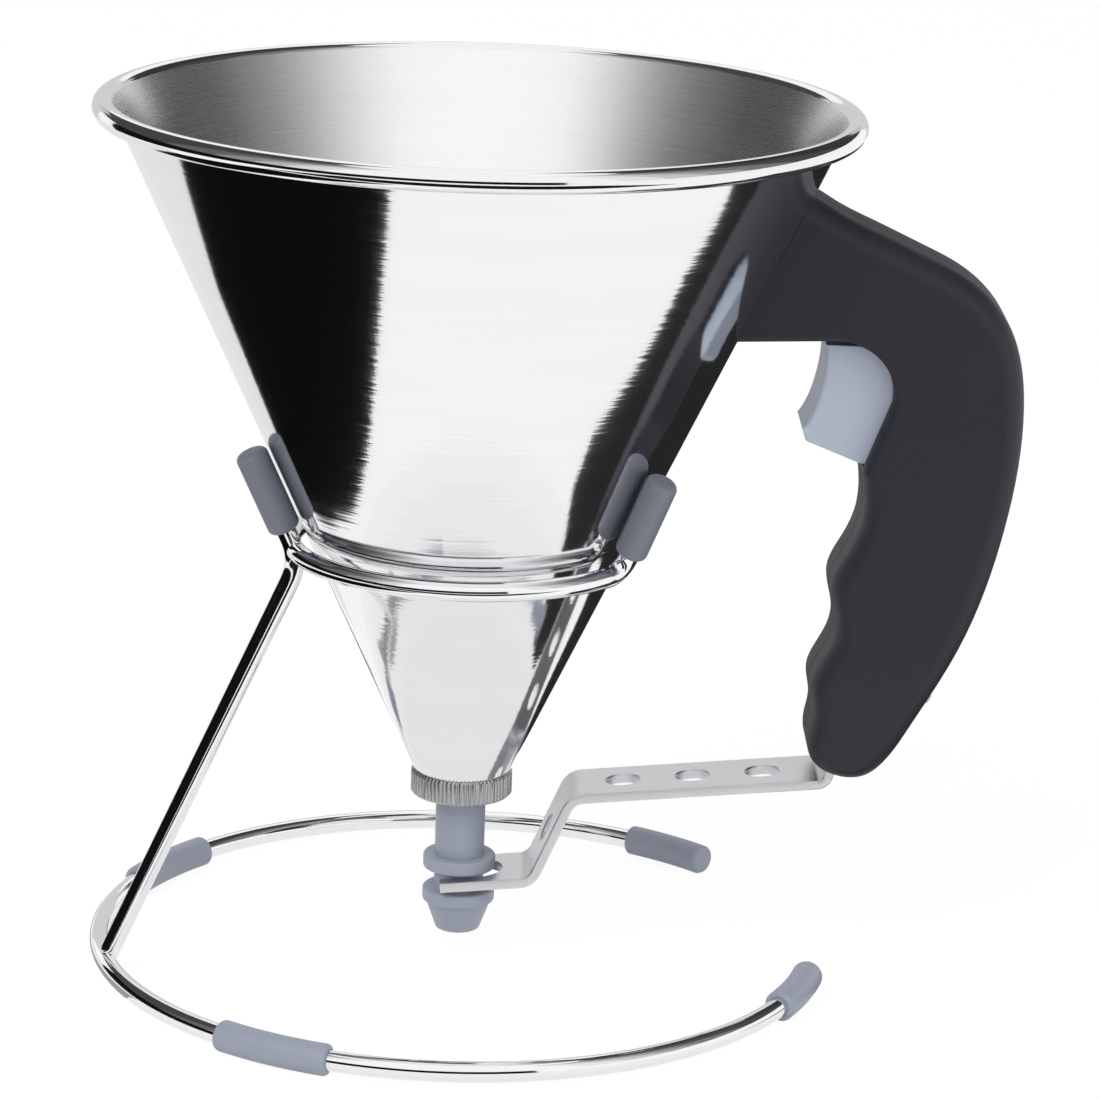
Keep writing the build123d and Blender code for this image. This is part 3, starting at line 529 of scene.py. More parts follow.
def spline_through(points, per_span):
    """A natural cubic spline through points, as points that lie close together."""
    places = np.array(points, float)
    spans = np.linalg.norm(np.diff(places, axis=0), axis=1)
    matrix = np.eye(len(places))
    right = np.zeros_like(places)
    for n in range(1, len(places) - 1):
        matrix[n, n - 1:n + 2] = spans[n - 1], 2 * (spans[n - 1] + spans[n]), spans[n]
        slope_before = (places[n] - places[n - 1]) / spans[n - 1]
        slope_after = (places[n + 1] - places[n]) / spans[n]
        right[n] = 6 * (slope_after - slope_before)
    bend = np.linalg.solve(matrix, right)
    line = []
    for n in range(len(places) - 1):
        for step in range(per_span):
            t = step / per_span
            u = 1 - t
            straight = u * places[n] + t * places[n + 1]
            curve = (u**3 - u) * bend[n] + (t**3 - t) * bend[n + 1]
            line.append(tuple(straight + curve * spans[n] ** 2 / 6))
    line.append(tuple(places[-1]))
    return line


def inward(outline):
    """Unit vectors that point into a closed outline at each of its points."""
    area = sum(a[0] * b[1] - b[0] * a[1] for a, b in zip(outline, outline[1:] + outline[:1]))
    side = 1 if area > 0 else -1
    vectors = []
    for n, point in enumerate(outline):
        before = (Vector(point) - Vector(outline[n - 1])).normalized()
        after = (Vector(outline[(n + 1) % len(outline)]) - Vector(point)).normalized()
        along = (before + after).normalized()
        vectors.append(Vector((-along.y, along.x)) * side)
    return vectors


def slab(outline, levels):
    """A plate in the handle's plane. Each level gives a Y and an inset for each point of the outline."""
    normals = inward(outline)
    rings = []
    for level in levels:
        ring = []
        for point, normal, (y, inset) in zip(outline, normals, level):
            moved = Vector(point) + normal * inset
            ring.append(Vector((axis.x + moved.x, y, moved.y)))
        rings.append(ring)
    return loft(rings)


def prism(outline, low, high):
    """A straight plate in the handle's plane from one Y to another."""
    return slab(outline, [[(y, 0)] * len(outline) for y in (low, high)])


def disc_outline(centre, radius, steps=40):
    """A circle as an outline."""
    return arc_points(centre, radius, 0, math.tau * (steps - 1) / steps, steps - 1)


class Course:
    """A wire's centre line, with directions across it that turn no more than they have to."""

    def __init__(self, points):
        self.points = [Vector(point) for point in points]
        self.lengths = [0.0]
        for a, b in zip(self.points, self.points[1:]):
            self.lengths.append(self.lengths[-1] + (b - a).length)
        self.total = self.lengths[-1]
        self.frames = []
        side = None
        for n, point in enumerate(self.points):
            before = self.points[max(n - 1, 0)]
            after = self.points[min(n + 1, len(self.points) - 1)]
            along = (after - before).normalized()
            if side is None:
                side = along.orthogonal()
            side = (side - along * side.dot(along)).normalized()
            self.frames.append((side.copy(), along.cross(side)))

    def circle(self, distance, radius, sides):
        """Points of a circle across the course at a distance from its start."""
        n = int(np.clip(np.searchsorted(self.lengths, distance) - 1, 0, len(self.points) - 2))
        t = (distance - self.lengths[n]) / (self.lengths[n + 1] - self.lengths[n])
        centre = self.points[n].lerp(self.points[n + 1], t)
        side = self.frames[n][0].lerp(self.frames[n + 1][0], t).normalized()
        up = self.frames[n][1].lerp(self.frames[n + 1][1], t).normalized()
        turns = [math.tau * k / sides for k in range(sides)]
        return [centre + (side * math.cos(turn) + up * math.sin(turn)) * radius for turn in turns]


def swept(course, profile, sides=40, closed=False, floor=None):
    """A round solid along a course, from a profile of distances and radii."""
    rings = [course.circle(distance, radius, sides) for distance, radius in profile]
    if floor is not None:
        for ring in rings:
            for point in ring:
                point.z = max(point.z, floor)
    return loft(rings, closed)


def quarter(steps):
    """Angles of a quarter turn."""
    return [math.pi / 2 * n / steps for n in range(steps + 1)]


def rounded_end(radius, rounding, steps=5):
    """Profile points of a rounded end, from its face to its full radius."""
    return [
        (rounding * (1 - math.sin(turn)), radius - rounding * (1 - math.cos(turn)))
        for turn in reversed(quarter(steps))
    ]


def far_end(course, end):
    """The profile of an end, turned round for the far end of a course."""
    return [(course.total - distance, radius) for distance, radius in reversed(end)]


def wire_profile(course, radius, steps, rounding):
    """The profile of a whole wire with slightly rounded ends."""
    end = rounded_end(radius, rounding, 3)
    middle = [(course.total * n / steps, radius) for n in range(1, steps)]
    inner = [place for place in middle if rounding < place[0] < course.total - rounding]
    return end + inner + far_end(course, end)


def edge_levels(side, half, depth, reach):
    """Levels of a plate that round its edge, out to its flat side, by a depth and a reach at each point."""
    return [
        [(side * (half - r * (1 - math.sin(turn))), d * (1 - math.cos(turn))) for d, r in zip(depth, reach)]
        for turn in quarter(8)
    ]


def mesh_object(name, mesh):
    """A new object that holds a finished bmesh."""
    data = bpy.data.meshes.new(name)
    mesh.to_mesh(data)
    mesh.free()
    made = bpy.data.objects.new(name, data)
    bpy.context.scene.collection.objects.link(made)
    return made


def apply_modifiers(piece):
    """Turns a piece's modifiers into its mesh."""
    bpy.context.view_layer.update()
    ready = piece.evaluated_get(bpy.context.evaluated_depsgraph_get())
    old = piece.data
    piece.data = bpy.data.meshes.new_from_object(ready)
    piece.modifiers.clear()
    bpy.data.meshes.remove(old)


def carve(piece, cutter, operation="DIFFERENCE"):
    """Cuts a mesh out of a piece, or joins it on."""
    tool = mesh_object("cutter", cutter)
    cut = piece.modifiers.new("carve", "BOOLEAN")
    cut.operation = operation
    cut.solver = "EXACT"
    cut.object = tool
    apply_modifiers(piece)
    data = tool.data
    bpy.data.objects.remove(tool)
    bpy.data.meshes.remove(data)
    if not piece.data.polygons:
        raise RuntimeError(f"nothing is left of {piece.name}")


def complete(piece, body, slot, replaced, *finishes, sharp=35, weighted=False):
    """Shades a piece, gives it its finishes and puts it in the place of its nodes."""
    data = piece.data
    for build in finishes:
        data.materials.append(finish_of(build))
    data.shade_smooth()
    data.set_sharp_from_angle(angle=math.radians(sharp))
    if weighted:
        normals = piece.modifiers.new("normals", "WEIGHTED_NORMAL")
        normals.keep_sharp = True
        apply_modifiers(piece)
    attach(piece, body)
    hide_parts(*replaced)


def softened(node, name, body, slot, finish, edge):
    """A copy of a node's mesh with small bevels on its sharp edges."""
    mesh = bmesh.new()
    mesh.from_mesh(nodes[node].data)
    bmesh.ops.remove_doubles(mesh, verts=mesh.verts, dist=0.002 * mm)
    bmesh.ops.dissolve_limit(
        mesh, angle_limit=math.radians(0.5), verts=mesh.verts, edges=mesh.edges, delimit={"NORMAL"}
    )
    piece = mesh_object(name, mesh)
    bevel = piece.modifiers.new("edges", "BEVEL")
    bevel.width = edge
    bevel.segments = 2
    bevel.limit_method = "ANGLE"
    bevel.angle_limit = math.radians(40)
    apply_modifiers(piece)
    complete(piece, body, slot, [node], finish, weighted=True)


# Places that several pieces share


def cone_slope():
    """Growth of the cone's radius with its height."""
    sizes = settings().funnel
    return (sizes.top_radius - sizes.foot_radius) / (sizes.rim_height - cone_low.z)


def cone_radius(height):
    """Outside radius of the cone at a height."""
    return settings().funnel.foot_radius + cone_slope() * (height - cone_low.z)


def at_handle(x, z):
    """A place in the handle's plane in metres, from millimetres measured off the arm's root."""
    height = settings().funnel.rim_height - settings().handle.drop
    return (cone_radius(height) + x * mm, height + z * mm)


def ring_place(radius, turn, height):
    """A place round the funnel's axis."""
    return axis + Vector((radius * math.cos(turn), radius * math.sin(turn), height))


def in_plane(x, z):
    """A place in the middle plane, measured from the funnel's axis."""
    return axis + Vector((x, 0, z))


def in_stand(mesh):
    """Turns a mesh from the stand's own middle plane to its place under the funnel."""
    turn = Matrix.Rotation(settings().stand.turn, 3, "Z")
    bmesh.ops.rotate(mesh, cent=axis, matrix=turn, verts=mesh.verts)
    return mesh


wire_radius = (ring_high.z - ring_low.z) / 2
wire_height = (ring_high.z + ring_low.z) / 2
base_radius = axis.x - ring_low.x - wire_radius

# Bore of what sits on the wire, and the small radius at which a closed end's rings stop
bore_radius = wire_radius + fit
closing_radius = 0.4 * mm


# Operators, one for each piece or group of like pieces


class FUNNEL_OT_cone(bpy.types.Operator):
    """Spins the cone with its rolled rim, polished outside and brushed inside"""

    bl_idname = "funnel.cone"
    bl_label = "Cone"

    def execute(self, context):
        sizes = settings().funnel
        slant = math.atan(cone_slope())
        across = sizes.wall / math.cos(slant)
        rim_radius = sizes.top_radius - across + sizes.roll_radius / math.cos(slant)
        centre = (rim_radius, sizes.rim_height)
        start = math.pi - slant
        sweep = sizes.roll_opening - math.tau
        under = arc_points(centre, sizes.roll_radius - sizes.wall, start, sweep, 30)
        over = arc_points(centre, sizes.roll_radius, start, sweep, 40)
        foot = [(sizes.foot_radius, cone_low.z)]
        inner_foot = [(sizes.foot_radius - across, cone_low.z)]
        profile = foot + under + list(reversed(over)) + inner_foot
        mesh = turned(profile, 320)
        outside = sizes.rim_height - sizes.roll_radius
        for face in mesh.faces:
            middle = face.calc_center_median()
            away = Vector((middle.x - axis.x, middle.y, 0))
            face.material_index = 1 if face.normal.dot(away) < 0 and middle.z < outside else 0
        piece = mesh_object("cone_spun", mesh)
        complete(piece, "funnel", "polished_steel", ["cone"], polished_cone, brushed_cone, sharp=50)
        return {"FINISHED"}


class FUNNEL_OT_nut(bpy.types.Operator):
    """Turns the ribbed nut under the cone"""

    bl_idname = "funnel.nut"
    bl_label = "Nut"

    def execute(self, context):
        sizes = settings().funnel
        outer = node_radius("nozzle_nut")
        chamfer = sizes.nut_chamfer
        profile = [
            (sizes.nut_bore, nut_low.z), (outer - chamfer, nut_low.z), (outer, nut_low.z + chamfer),
            (outer, nut_high.z - chamfer), (outer - chamfer, nut_high.z), (sizes.nut_bore, nut_high.z),
        ]
        groove = (0, 0, 0.45, 0.85, 1, 0.85, 0.45, 0)

        def depth_at(step, radius):
            if radius < outer - chamfer / 2:
                return 0
            uneven = 0.75 + 0.25 * math.sin(step // len(groove) * 2.4)
            return sizes.rib_depth * groove[step % len(groove)] * uneven

        piece = mesh_object("nut_ribbed", turned(profile, sizes.rib_count * len(groove), depth_at))
        complete(piece, "nut", "satin_steel", ["nozzle_nut"], turned_nut, sharp=32)
        return {"FINISHED"}


class FUNNEL_OT_spout(bpy.types.Operator):
    """Turns the spout with its two flanges, and softens the piston above it"""

    bl_idname = "funnel.spout"
    bl_label = "Spout and piston"

    def execute(self, context):
        sizes = settings().funnel
        tip = spout_low.z
        flange = node_radius("spout")
        foot, groove_foot, groove_top = tip + 6.0 * mm, tip + 8.8 * mm, tip + 13.0 * mm
        shoulder = tip + 8.0 * mm
        soft, edge = 0.55 * mm, 0.25 * mm
        profile = rounded([
            (sizes.spout_bore, tip, edge), (sizes.tip_radius, tip, soft),
            (flange - 0.7 * mm, foot, edge), (flange, foot, soft),
            (flange, groove_foot, soft), (sizes.groove_radius, groove_foot, edge),
            (sizes.groove_radius, groove_top, edge), (flange, groove_top, soft),
            (flange, spout_high.z, soft), (sizes.spigot_bore, spout_high.z, edge),
            (sizes.spigot_bore, shoulder, 0), (sizes.spout_bore, shoulder, 0),
        ])
        piece = mesh_object("spout_turned", turned(profile, 128))
        complete(piece, "piston", "grey_plastic", ["spout"], grey_plastic, sharp=40)
        softened("piston_tube", "piston_soft", "piston", "grey_plastic", grey_plastic, 0.3 * mm)
        softened("guide_bush", "bush_soft", "funnel", "grey_plastic", grey_plastic, 0.25 * mm)
        return {"FINISHED"}


class FUNNEL_OT_wires(bpy.types.Operator):
    """Bends the chromed wires of the stand"""

    bl_idname = "funnel.wires"
    bl_label = "Wires"

    def execute(self, context):
        stand = settings().stand
        end = stand.base_gap + stand.cap_end
        turns = np.linspace(end, math.tau - end, 260)
        base = Course([ring_place(base_radius, turn, wire_height) for turn in turns])
        self.wire("base_wire", base, 240, "base_ring")
        self.wire("upright_wire", Course(upright_route()), 90, "upright")
        for side, name in ((1, "front"), (-1, "back")):
            course = Course([Vector((p.x, p.y * side, p.z)) for p in cradle_route()])
            self.wire(f"cradle_{name}_wire", course, 110, f"cradle_wire_{name}")
        return {"FINISHED"}

    def wire(self, name, course, steps, node):
        """Makes one wire along its course."""
        rounding = 0.4 * mm
        mesh = swept(course, wire_profile(course, wire_radius, steps, rounding), 40)
        piece = mesh_object(name, in_stand(mesh))
        complete(piece, "stand", "chrome_wire", [node], chrome_wire, sharp=60)


def pad_offset():
    """Distance of the pads' axes from the cone at one height."""
    stand = settings().stand
    return (stand.pad_radius + stand.pad_clearance) / math.cos(math.atan(cone_slope()))


def rear_line():
    """The elbow of the upright and the direction along the cone above it."""
    stand = settings().stand
    slant = math.atan(cone_slope())
    height = stand.cradle_height - stand.elbow_drop
    elbow = in_plane(-cone_radius(height) - pad_offset(), height)
    return elbow, Vector((-math.sin(slant), 0, math.cos(slant)))


def rear_pad_foot():
    """The lower end of the rear pad."""
    stand = settings().stand
    elbow, along = rear_line()
    rise = stand.cradle_bend + stand.pad_lead + stand.elbow_drop / math.cos(math.atan(cone_slope()))
    return elbow + along * rise


def upright_route():
    """The upright's line from inside the base wire up into the rear pad."""
    stand = settings().stand
    elbow, along = rear_line()
    foot = in_plane(-base_radius, wire_height)
    overlap = 0.7
    start = foot + (elbow - foot).normalized() * wire_radius * overlap
    top = rear_pad_foot() + along * stand.pad_bore
    corners = [(start.x, start.z, 0), (elbow.x, elbow.z, stand.elbow_radius), (top.x, top.z, 0)]
    return [Vector((x, 0, z)) for x, z in rounded(corners, math.radians(2), closed=False)]


def cradle_end():
    """Where the cradle leaves its ring, and its directions along the ring and along the cone."""
    stand = settings().stand
    slant = math.atan(cone_slope())
    radius = cone_radius(stand.cradle_height) + pad_offset()
    turn = -stand.cradle_gap - stand.cradle_bend / radius
    along = Vector((-math.sin(turn), math.cos(turn), 0))
    up = Vector((math.sin(slant) * math.cos(turn), math.sin(slant) * math.sin(turn), math.cos(slant)))
    return radius, turn, along, up


def cradle_route():
    """The near cradle wire from the upright round the cone and up into its pad."""
    stand = settings().stand
    radius, turn, along, up = cradle_end()
    route = [ring_place(radius, t, stand.cradle_height) for t in np.linspace(-math.pi, turn, 120)]
    corner = route[-1]
    bend = stand.cradle_bend
    for t in quarter(12)[1:]:
        route.append(corner + along * bend * math.sin(t) + up * bend * (1 - math.cos(t)))
    route.append(route[-1] + up * (stand.pad_lead + stand.pad_bore))
    return route


class FUNNEL_OT_sleeves(bpy.types.Operator):
    """Moulds the sleeves and end caps on the base wire"""

    bl_idname = "funnel.sleeves"
    bl_label = "Sleeves and caps"

    def execute(self, context):
        stand = settings().stand
        end = rounded_end(stand.sleeve_radius, stand.sleeve_rounding)
        for side, name in ((-1, "front"), (1, "back")):
            middle = math.pi - side * stand.sleeve_centre
            sleeve = self.course(middle - stand.sleeve_span / 2, middle + stand.sleeve_span / 2)
            profile = [(0, bore_radius)] + self.skin(sleeve, end) + [(sleeve.total, bore_radius)]
            self.mould(f"sleeve_{name}", swept(sleeve, profile, 40, True, 0), f"foot_sleeve_{name}")
            cap = self.course(side * stand.base_gap, side * (stand.base_gap + stand.cap_span))
            solid = base_radius * stand.cap_end
            hollow = [(cap.total, bore_radius), (solid, bore_radius), (solid, closing_radius)]
            profile = [(0, closing_radius)] + self.skin(cap, end) + hollow
            self.mould(f"cap_{name}", swept(cap, profile, 40, False, 0), f"end_cap_{name}")
        return {"FINISHED"}

    def course(self, start, stop):
        """A stretch of the base wire's circle."""
        return Course([ring_place(base_radius, turn, wire_height) for turn in np.linspace(start, stop, 40)])

    def skin(self, course, end):
        """The outside profile of a sleeve or cap, from one rounded end to the other."""
        middle = [(course.total * n / 12, settings().stand.sleeve_radius) for n in range(1, 12)]
        return end + middle + far_end(course, end)

    def mould(self, name, mesh, node):
        """Finishes one sleeve or cap."""
        piece = mesh_object(name, in_stand(mesh))
        complete(piece, "stand", "grey_plastic", [node], grey_plastic, sharp=40)


class FUNNEL_OT_pads(bpy.types.Operator):
    """Moulds the three pads that the cone rests against"""

    bl_idname = "funnel.pads"
    bl_label = "Pads"

    def execute(self, context):
        stand = settings().stand
        radius, turn, along, up = cradle_end()
        corner = ring_place(radius, turn, stand.cradle_height)
        foot = corner + (along + up) * stand.cradle_bend + up * stand.pad_lead
        back_up = Vector((up.x, -up.y, up.z))
        back_foot = Vector((foot.x, -foot.y, foot.z))
        self.pad("pad_rear", rear_pad_foot(), rear_line()[1], "rear_pad")
        self.pad("pad_front", foot, up, "cradle_pad_front")
        self.pad("pad_back", back_foot, back_up, "cradle_pad_back")
        return {"FINISHED"}

    def pad(self, name, foot, up, node):
        """Makes one pad from its foot along the cone."""
        stand = settings().stand
        course = Course([foot, foot + up * stand.pad_length])
        end = rounded_end(stand.pad_radius, stand.pad_rounding)
        hollow = [(stand.pad_bore, closing_radius), (stand.pad_bore, bore_radius), (0, bore_radius)]
        profile = hollow + end + far_end(course, end) + [(course.total, closing_radius)]
        mesh = swept(course, profile, 48)
        piece = mesh_object(name, in_stand(mesh))
        # The pads get the grey plastic darkened as painted shade
        complete(piece, "stand", "grey_plastic", [node], pad_plastic, sharp=40)


def grip_line():
    """The handle's outer line from the arm's root over the back to the nose."""
    points = [at_handle(*point) for point in handle_back + handle_bottom + handle_front]
    return spline_through(points, grip_steps)


def bay_line(radius):
    """The bay's arc from above the nose up to the arm's underside."""
    sizes = settings().handle
    centre = at_handle(sizes.bay_x / mm, (sizes.bay_top - sizes.bay_radius) / mm)
    return arc_points(centre, radius, math.radians(-10), math.radians(100), 30)


def handle_outline():
    """The handle's closed outline, with its last points hidden inside the cone."""
    root = [at_handle(*point) for point in arm_root]
    return grip_line() + bay_line(settings().handle.bay_radius) + root


class FUNNEL_OT_handle(bpy.types.Operator):
    """Moulds the two shells of the handle"""

    bl_idname = "funnel.handle"
    bl_label = "Handle"

    def execute(self, context):
        head_radius, head_seat, past_side = 3.2 * mm, 8.5 * mm, 13 * mm
        for side, name in ((-1, "left"), (1, "right")):
            piece = mesh_object(f"shell_{name}", self.blank(side))
            for cutter in self.cutters(side):
                carve(piece, cutter)
            for boss in self.bosses(side):
                carve(piece, boss, "UNION")
            if side > 0:
                for place in screw_places:
                    hole = disc_outline(at_handle(*place), head_radius)
                    carve(piece, prism(hole, head_seat, past_side))
            node = f"handle_{name}"
            complete(piece, "funnel", "black_plastic", [node], dark_plastic, sharp=32, weighted=True)
        return {"FINISHED"}

    def blank(self, side):
        """One solid half of the handle with its rounded edges."""
        sizes = settings().handle
        grip = grip_line()
        outline = handle_outline()
        crisp = len(outline) - len(grip)
        front_start = grip_steps * (len(handle_back) + len(handle_bottom) - 3)
        on_front = [n > front_start for n in range(len(grip))]
        depth = [sizes.front_depth if front else sizes.back_depth for front in on_front]
        depth += [sizes.edge_rounding] * crisp
        reach = [sizes.front_reach if front else sizes.back_reach for front in on_front]
        reach += [sizes.edge_rounding] * crisp
        depth = self.eased(depth, 5)
        reach = self.eased(reach, 10)
        half = shell_high.y - shell_low.y
        levels = [
            [(0, sizes.parting)] * len(outline),
            [(side * sizes.parting, 0)] * len(outline),
        ]
        return slab(outline, levels + edge_levels(side, half, depth, reach))

    def eased(self, values, width):
        """Values along the outline, evened out over their neighbours."""
        kept = np.array(values)
        padded = np.concatenate([kept[-width:], kept, kept[:width]])
        return list(np.convolve(padded, np.ones(2 * width + 1) / (2 * width + 1), "valid"))

    def cutters(self, side):
        """The cone's seat, the room inside and the openings of one half."""
        sizes = settings().handle
        funnel = settings().funnel
        height = funnel.rim_height - sizes.drop
        below = height - 8 * mm
        core = 1 * mm
        seat = [
            (core, below), (cone_radius(below) + fit, below),
            (cone_radius(funnel.rim_height) + fit, funnel.rim_height), (core, funnel.rim_height),
        ]
        grip = grip_line()
        inner = [tuple(Vector(p) + n * sizes.wall) for p, n in zip(grip, inward(handle_outline()))][::2]
        bay = bay_line(sizes.bay_radius + sizes.wall)
        room = inner + bay + [(at_handle(*arm_root[0])[0], bay[-1][1])]
        window = [at_handle(*corner) for corner in window_corners]
        slot_half, across = 9.1 * mm, 0.1 * mm
        cutters = [turned(seat, 160)]
        openings = ((room, sizes.room_half), (window, sizes.window_half), (lever_slot(), slot_half))
        for outline, half in openings:
            cutters.append(prism(outline, -side * across, side * half))
        return cutters + [stop_block(*stop_opening), stop_block(*stop_pocket)]

    def bosses(self, side):
        """Bosses for the screws, inside one half."""
        radius, end = 4.2 * mm, 9.5 * mm
        return [
            prism(disc_outline(at_handle(*place), radius), side * arm_half, side * end)
            for place in screw_places
        ]


def riser_line():
    """The middle of the lever's riser beside the pivot, and the directions along and across it."""
    pivot = Vector(at_handle(*pivot_place))
    lean, beside = math.radians(75), 4.8 * mm
    along = Vector((math.cos(lean), math.sin(lean)))
    across = Vector((along.y, -along.x))
    return pivot - across * beside, along, across


def lever_slot():
    """Outline of the opening that the lever's riser goes through, from millimetres along and across it."""
    middle, along, across = riser_line()
    corners = ((-3.4, -3.43), (-3.4, 1.43), (-32, 1.43), (-32, -3.43))
    return [tuple(middle + along * a * mm + across * b * mm) for a, b in corners]


def stop_frame():
    """The flow stop's place on the handle's back, and the directions along and out of it."""
    travel = Vector(joints["stop_slide"]["axis"])
    low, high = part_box("flow_stop")
    outward = Vector((-travel.z, 0, travel.x))
    middle = (low + high) / 2
    face = max(vertex.co.dot(outward) for vertex in nodes["flow_stop"].data.vertices) - nub_height * mm
    return middle + outward * (face - middle.dot(outward)), travel, outward


def stop_block(half_length, half_width, low, high):
    """A block on the handle's back, in millimetres, from one height above the back to another."""
    place, along, outward = stop_frame()
    rings = []
    long, wide = half_length * mm, half_width * mm
    for height in (low * mm, high * mm):
        rings.append([
            place + along * a * long + Vector((0, b * wide, 0)) + outward * height
            for a, b in ((-1, -1), (1, -1), (1, 1), (-1, 1))
        ])
    return loft(rings)


class FUNNEL_OT_trigger(bpy.types.Operator):
    """Moulds the trigger and the small flow stop"""

    bl_idname = "funnel.trigger"
    bl_label = "Trigger and flow stop"

    def execute(self, context):
        piece = mesh_object("trigger_moulded", self.blank())
        slot = [at_handle(*corner) for corner in trigger_slot]
        carve(piece, prism(slot, -arm_half, arm_half))
        hole, past_side = disc_outline(at_handle(*trigger_pin_place), pin_hole), 9 * mm
        carve(piece, prism(hole, -past_side, past_side))
        complete(piece, "lever", "grey_plastic", ["trigger"], trigger_plastic, weighted=True)
        self.stop()
        return {"FINISHED"}

    def blank(self):
        """The trigger's solid with a soft front."""
        sizes = settings().handle
        front = spline_through([at_handle(*point) for point in trigger_front], 12)
        toe = [at_handle(*point) for point in trigger_toe]
        back = [at_handle(*point) for point in trigger_back]
        nose_radius, heel_radius, back_radius, edge = 0.9 * mm, 2 * mm, 0.6 * mm, 0.5 * mm
        corners = [(*point, 0) for point in front] + [(*toe[0], nose_radius), (*toe[1], heel_radius)]
        outline = rounded(corners + [(*point, back_radius) for point in back])
        ends = [Vector(front[0]), Vector(front[-1])]
        soft = []
        for point in outline:
            away = min((Vector(point) - end).length for end in ends)
            whole = sizes.trigger_rounding if point in front else edge
            soft.append(min(whole, 0.1 * mm + away * 0.8))
        half = sizes.trigger_half
        return slab(outline, edge_levels(-1, half, soft, soft)[::-1] + edge_levels(1, half, soft, soft))

    def stop(self):
        """The flow stop: a domed nub on its plate."""
        half_length, half_width = 1.4 * mm, 1.6 * mm
        place, along, outward = stop_frame()
        piece = mesh_object("stop_nub", stop_block(*stop_plate))
        rings = []
        for height, size in ((-1.5, 1), (0.9, 1), (1.3, 0.95), (1.6, 0.82), (1.8, 0.6), (nub_height, 0.25)):
            ring = []
            for n in range(32):
                turn = math.tau * n / 32
                flat = Vector((math.cos(turn), math.sin(turn)))
                square = flat / (abs(flat.x) ** 3 + abs(flat.y) ** 3) ** (1 / 3)
                side = along * square.x * half_length + Vector((0, square.y * half_width, 0))
                ring.append(place + side * size + outward * height * mm)
            rings.append(ring)
        carve(piece, loft(rings), "UNION")
        complete(piece, "stop", "grey_plastic", ["flow_stop"], trigger_plastic, sharp=40, weighted=True)


class FUNNEL_OT_lever(bpy.types.Operator):
    """Bends the lever's strip and cuts its fork and holes"""

    bl_idname = "funnel.lever"
    bl_label = "Lever"

    def execute(self, context):
        sizes = settings().handle
        fork, run, knee, tip = 16.2 * mm, 33.3 * mm, 14.6 * mm, -3.7 * mm
        bend, riser_bend, riser_length = 4 * mm, 2.4 * mm, 16 * mm
        rise = math.tan(sizes.lever_tilt)
        steep = math.tan(math.radians(67))
        upper = knee + (run - fork) / (steep - rise)
        riser, along, across = riser_line()
        riser_rise = along.y / along.x
        foot = (riser_rise * riser.x - riser.y + run) / (riser_rise - rise)
        top = riser + along * riser_length
        route = rounded([
            (tip, fork + tip * rise, 0), (knee, fork + knee * rise, bend),
            (upper, run + upper * rise, bend), (foot, run + foot * rise, riser_bend), (top.x, top.y, 0),
        ], math.radians(6), closed=False)
        piece = mesh_object("lever_strip", self.strip(route))
        self.cut_fork(piece, fork, rise)
        up = Vector((-math.sin(sizes.lever_tilt), 0, math.cos(sizes.lever_tilt)))
        first_hole, pitch = 10.5, 14
        for n in range(3):
            x = upper + (first_hole + pitch * n) * mm
            carve(piece, self.drill(in_plane(x, run + x * rise), up, sizes.hole_radius))
        middle = in_plane((knee + upper) / 2, (fork + run + (knee + upper) * rise) / 2)
        slope = Vector((1, 0, steep)).normalized()
        carve(piece, self.drill(middle, Vector((-slope.z, 0, slope.x)), sizes.sloped_hole))
        for station in (4, 11):
            rivet = riser + along * station * mm
            carve(piece, self.drill(in_plane(*rivet), Vector((across.x, 0, across.y)), pin_hole, 0))
        complete(piece, "lever", "satin_steel", ["lever_bar"], satin_strip, weighted=True)
        return {"FINISHED"}

    def cut_fork(self, piece, fork, rise):
        """Cuts the fork's slot, which is open towards the tip."""
        half, depth, middle, past = 5.4 * mm, 3 * mm, 3.5 * mm, -20 * mm
        slot = [(past, -half)] + arc_points((middle, 0), half, -math.pi / 2, math.pi, 32) + [(past, half)]
        rings = [[axis + Vector((x, y, fork + x * rise + z)) for x, y in slot] for z in (-depth, depth)]
        carve(piece, loft(rings))

    def strip(self, route):
        """The strip along its route, with rounded long edges."""
        sizes = settings().handle
        half_width = (strip_high.y - strip_low.y) / 2
        half = sizes.strip_thickness / 2
        edge = sizes.strip_rounding
        corners = ((-half_width, -half), (half_width, -half), (half_width, half), (-half_width, half))
        section = rounded([(*corner, edge) for corner in corners], math.radians(30))
        rings = []
        for n, point in enumerate(route):
            before = Vector(route[max(n - 1, 0)])
            after = Vector(route[min(n + 1, len(route) - 1)])
            along = (after - before).normalized()
            up = Vector((-along.y, along.x))
            if 0 < n < len(route) - 1:
                arriving = (Vector(point) - before).normalized()
                up /= max(0.5, along.dot(arriving))
            rings.append([axis + Vector((point[0] + up.x * t, y, point[1] + up.y * t)) for y, t in section])
        return loft(rings)

    def drill(self, place, direction, radius, flare=0.25 * mm):
        """A cutter for a hole whose edges are slightly eased."""
        half = settings().handle.strip_thickness / 2
        out = direction * 4 * mm
        course = Course([place - out, place + out])
        reach = course.total / 2
        mouth = radius + flare + (reach - half) * 0.9 if flare else radius
        start, stop = reach - half + flare, reach + half - flare
        return swept(course, [(0, mouth), (start, radius), (stop, radius), (course.total, mouth)], 48)


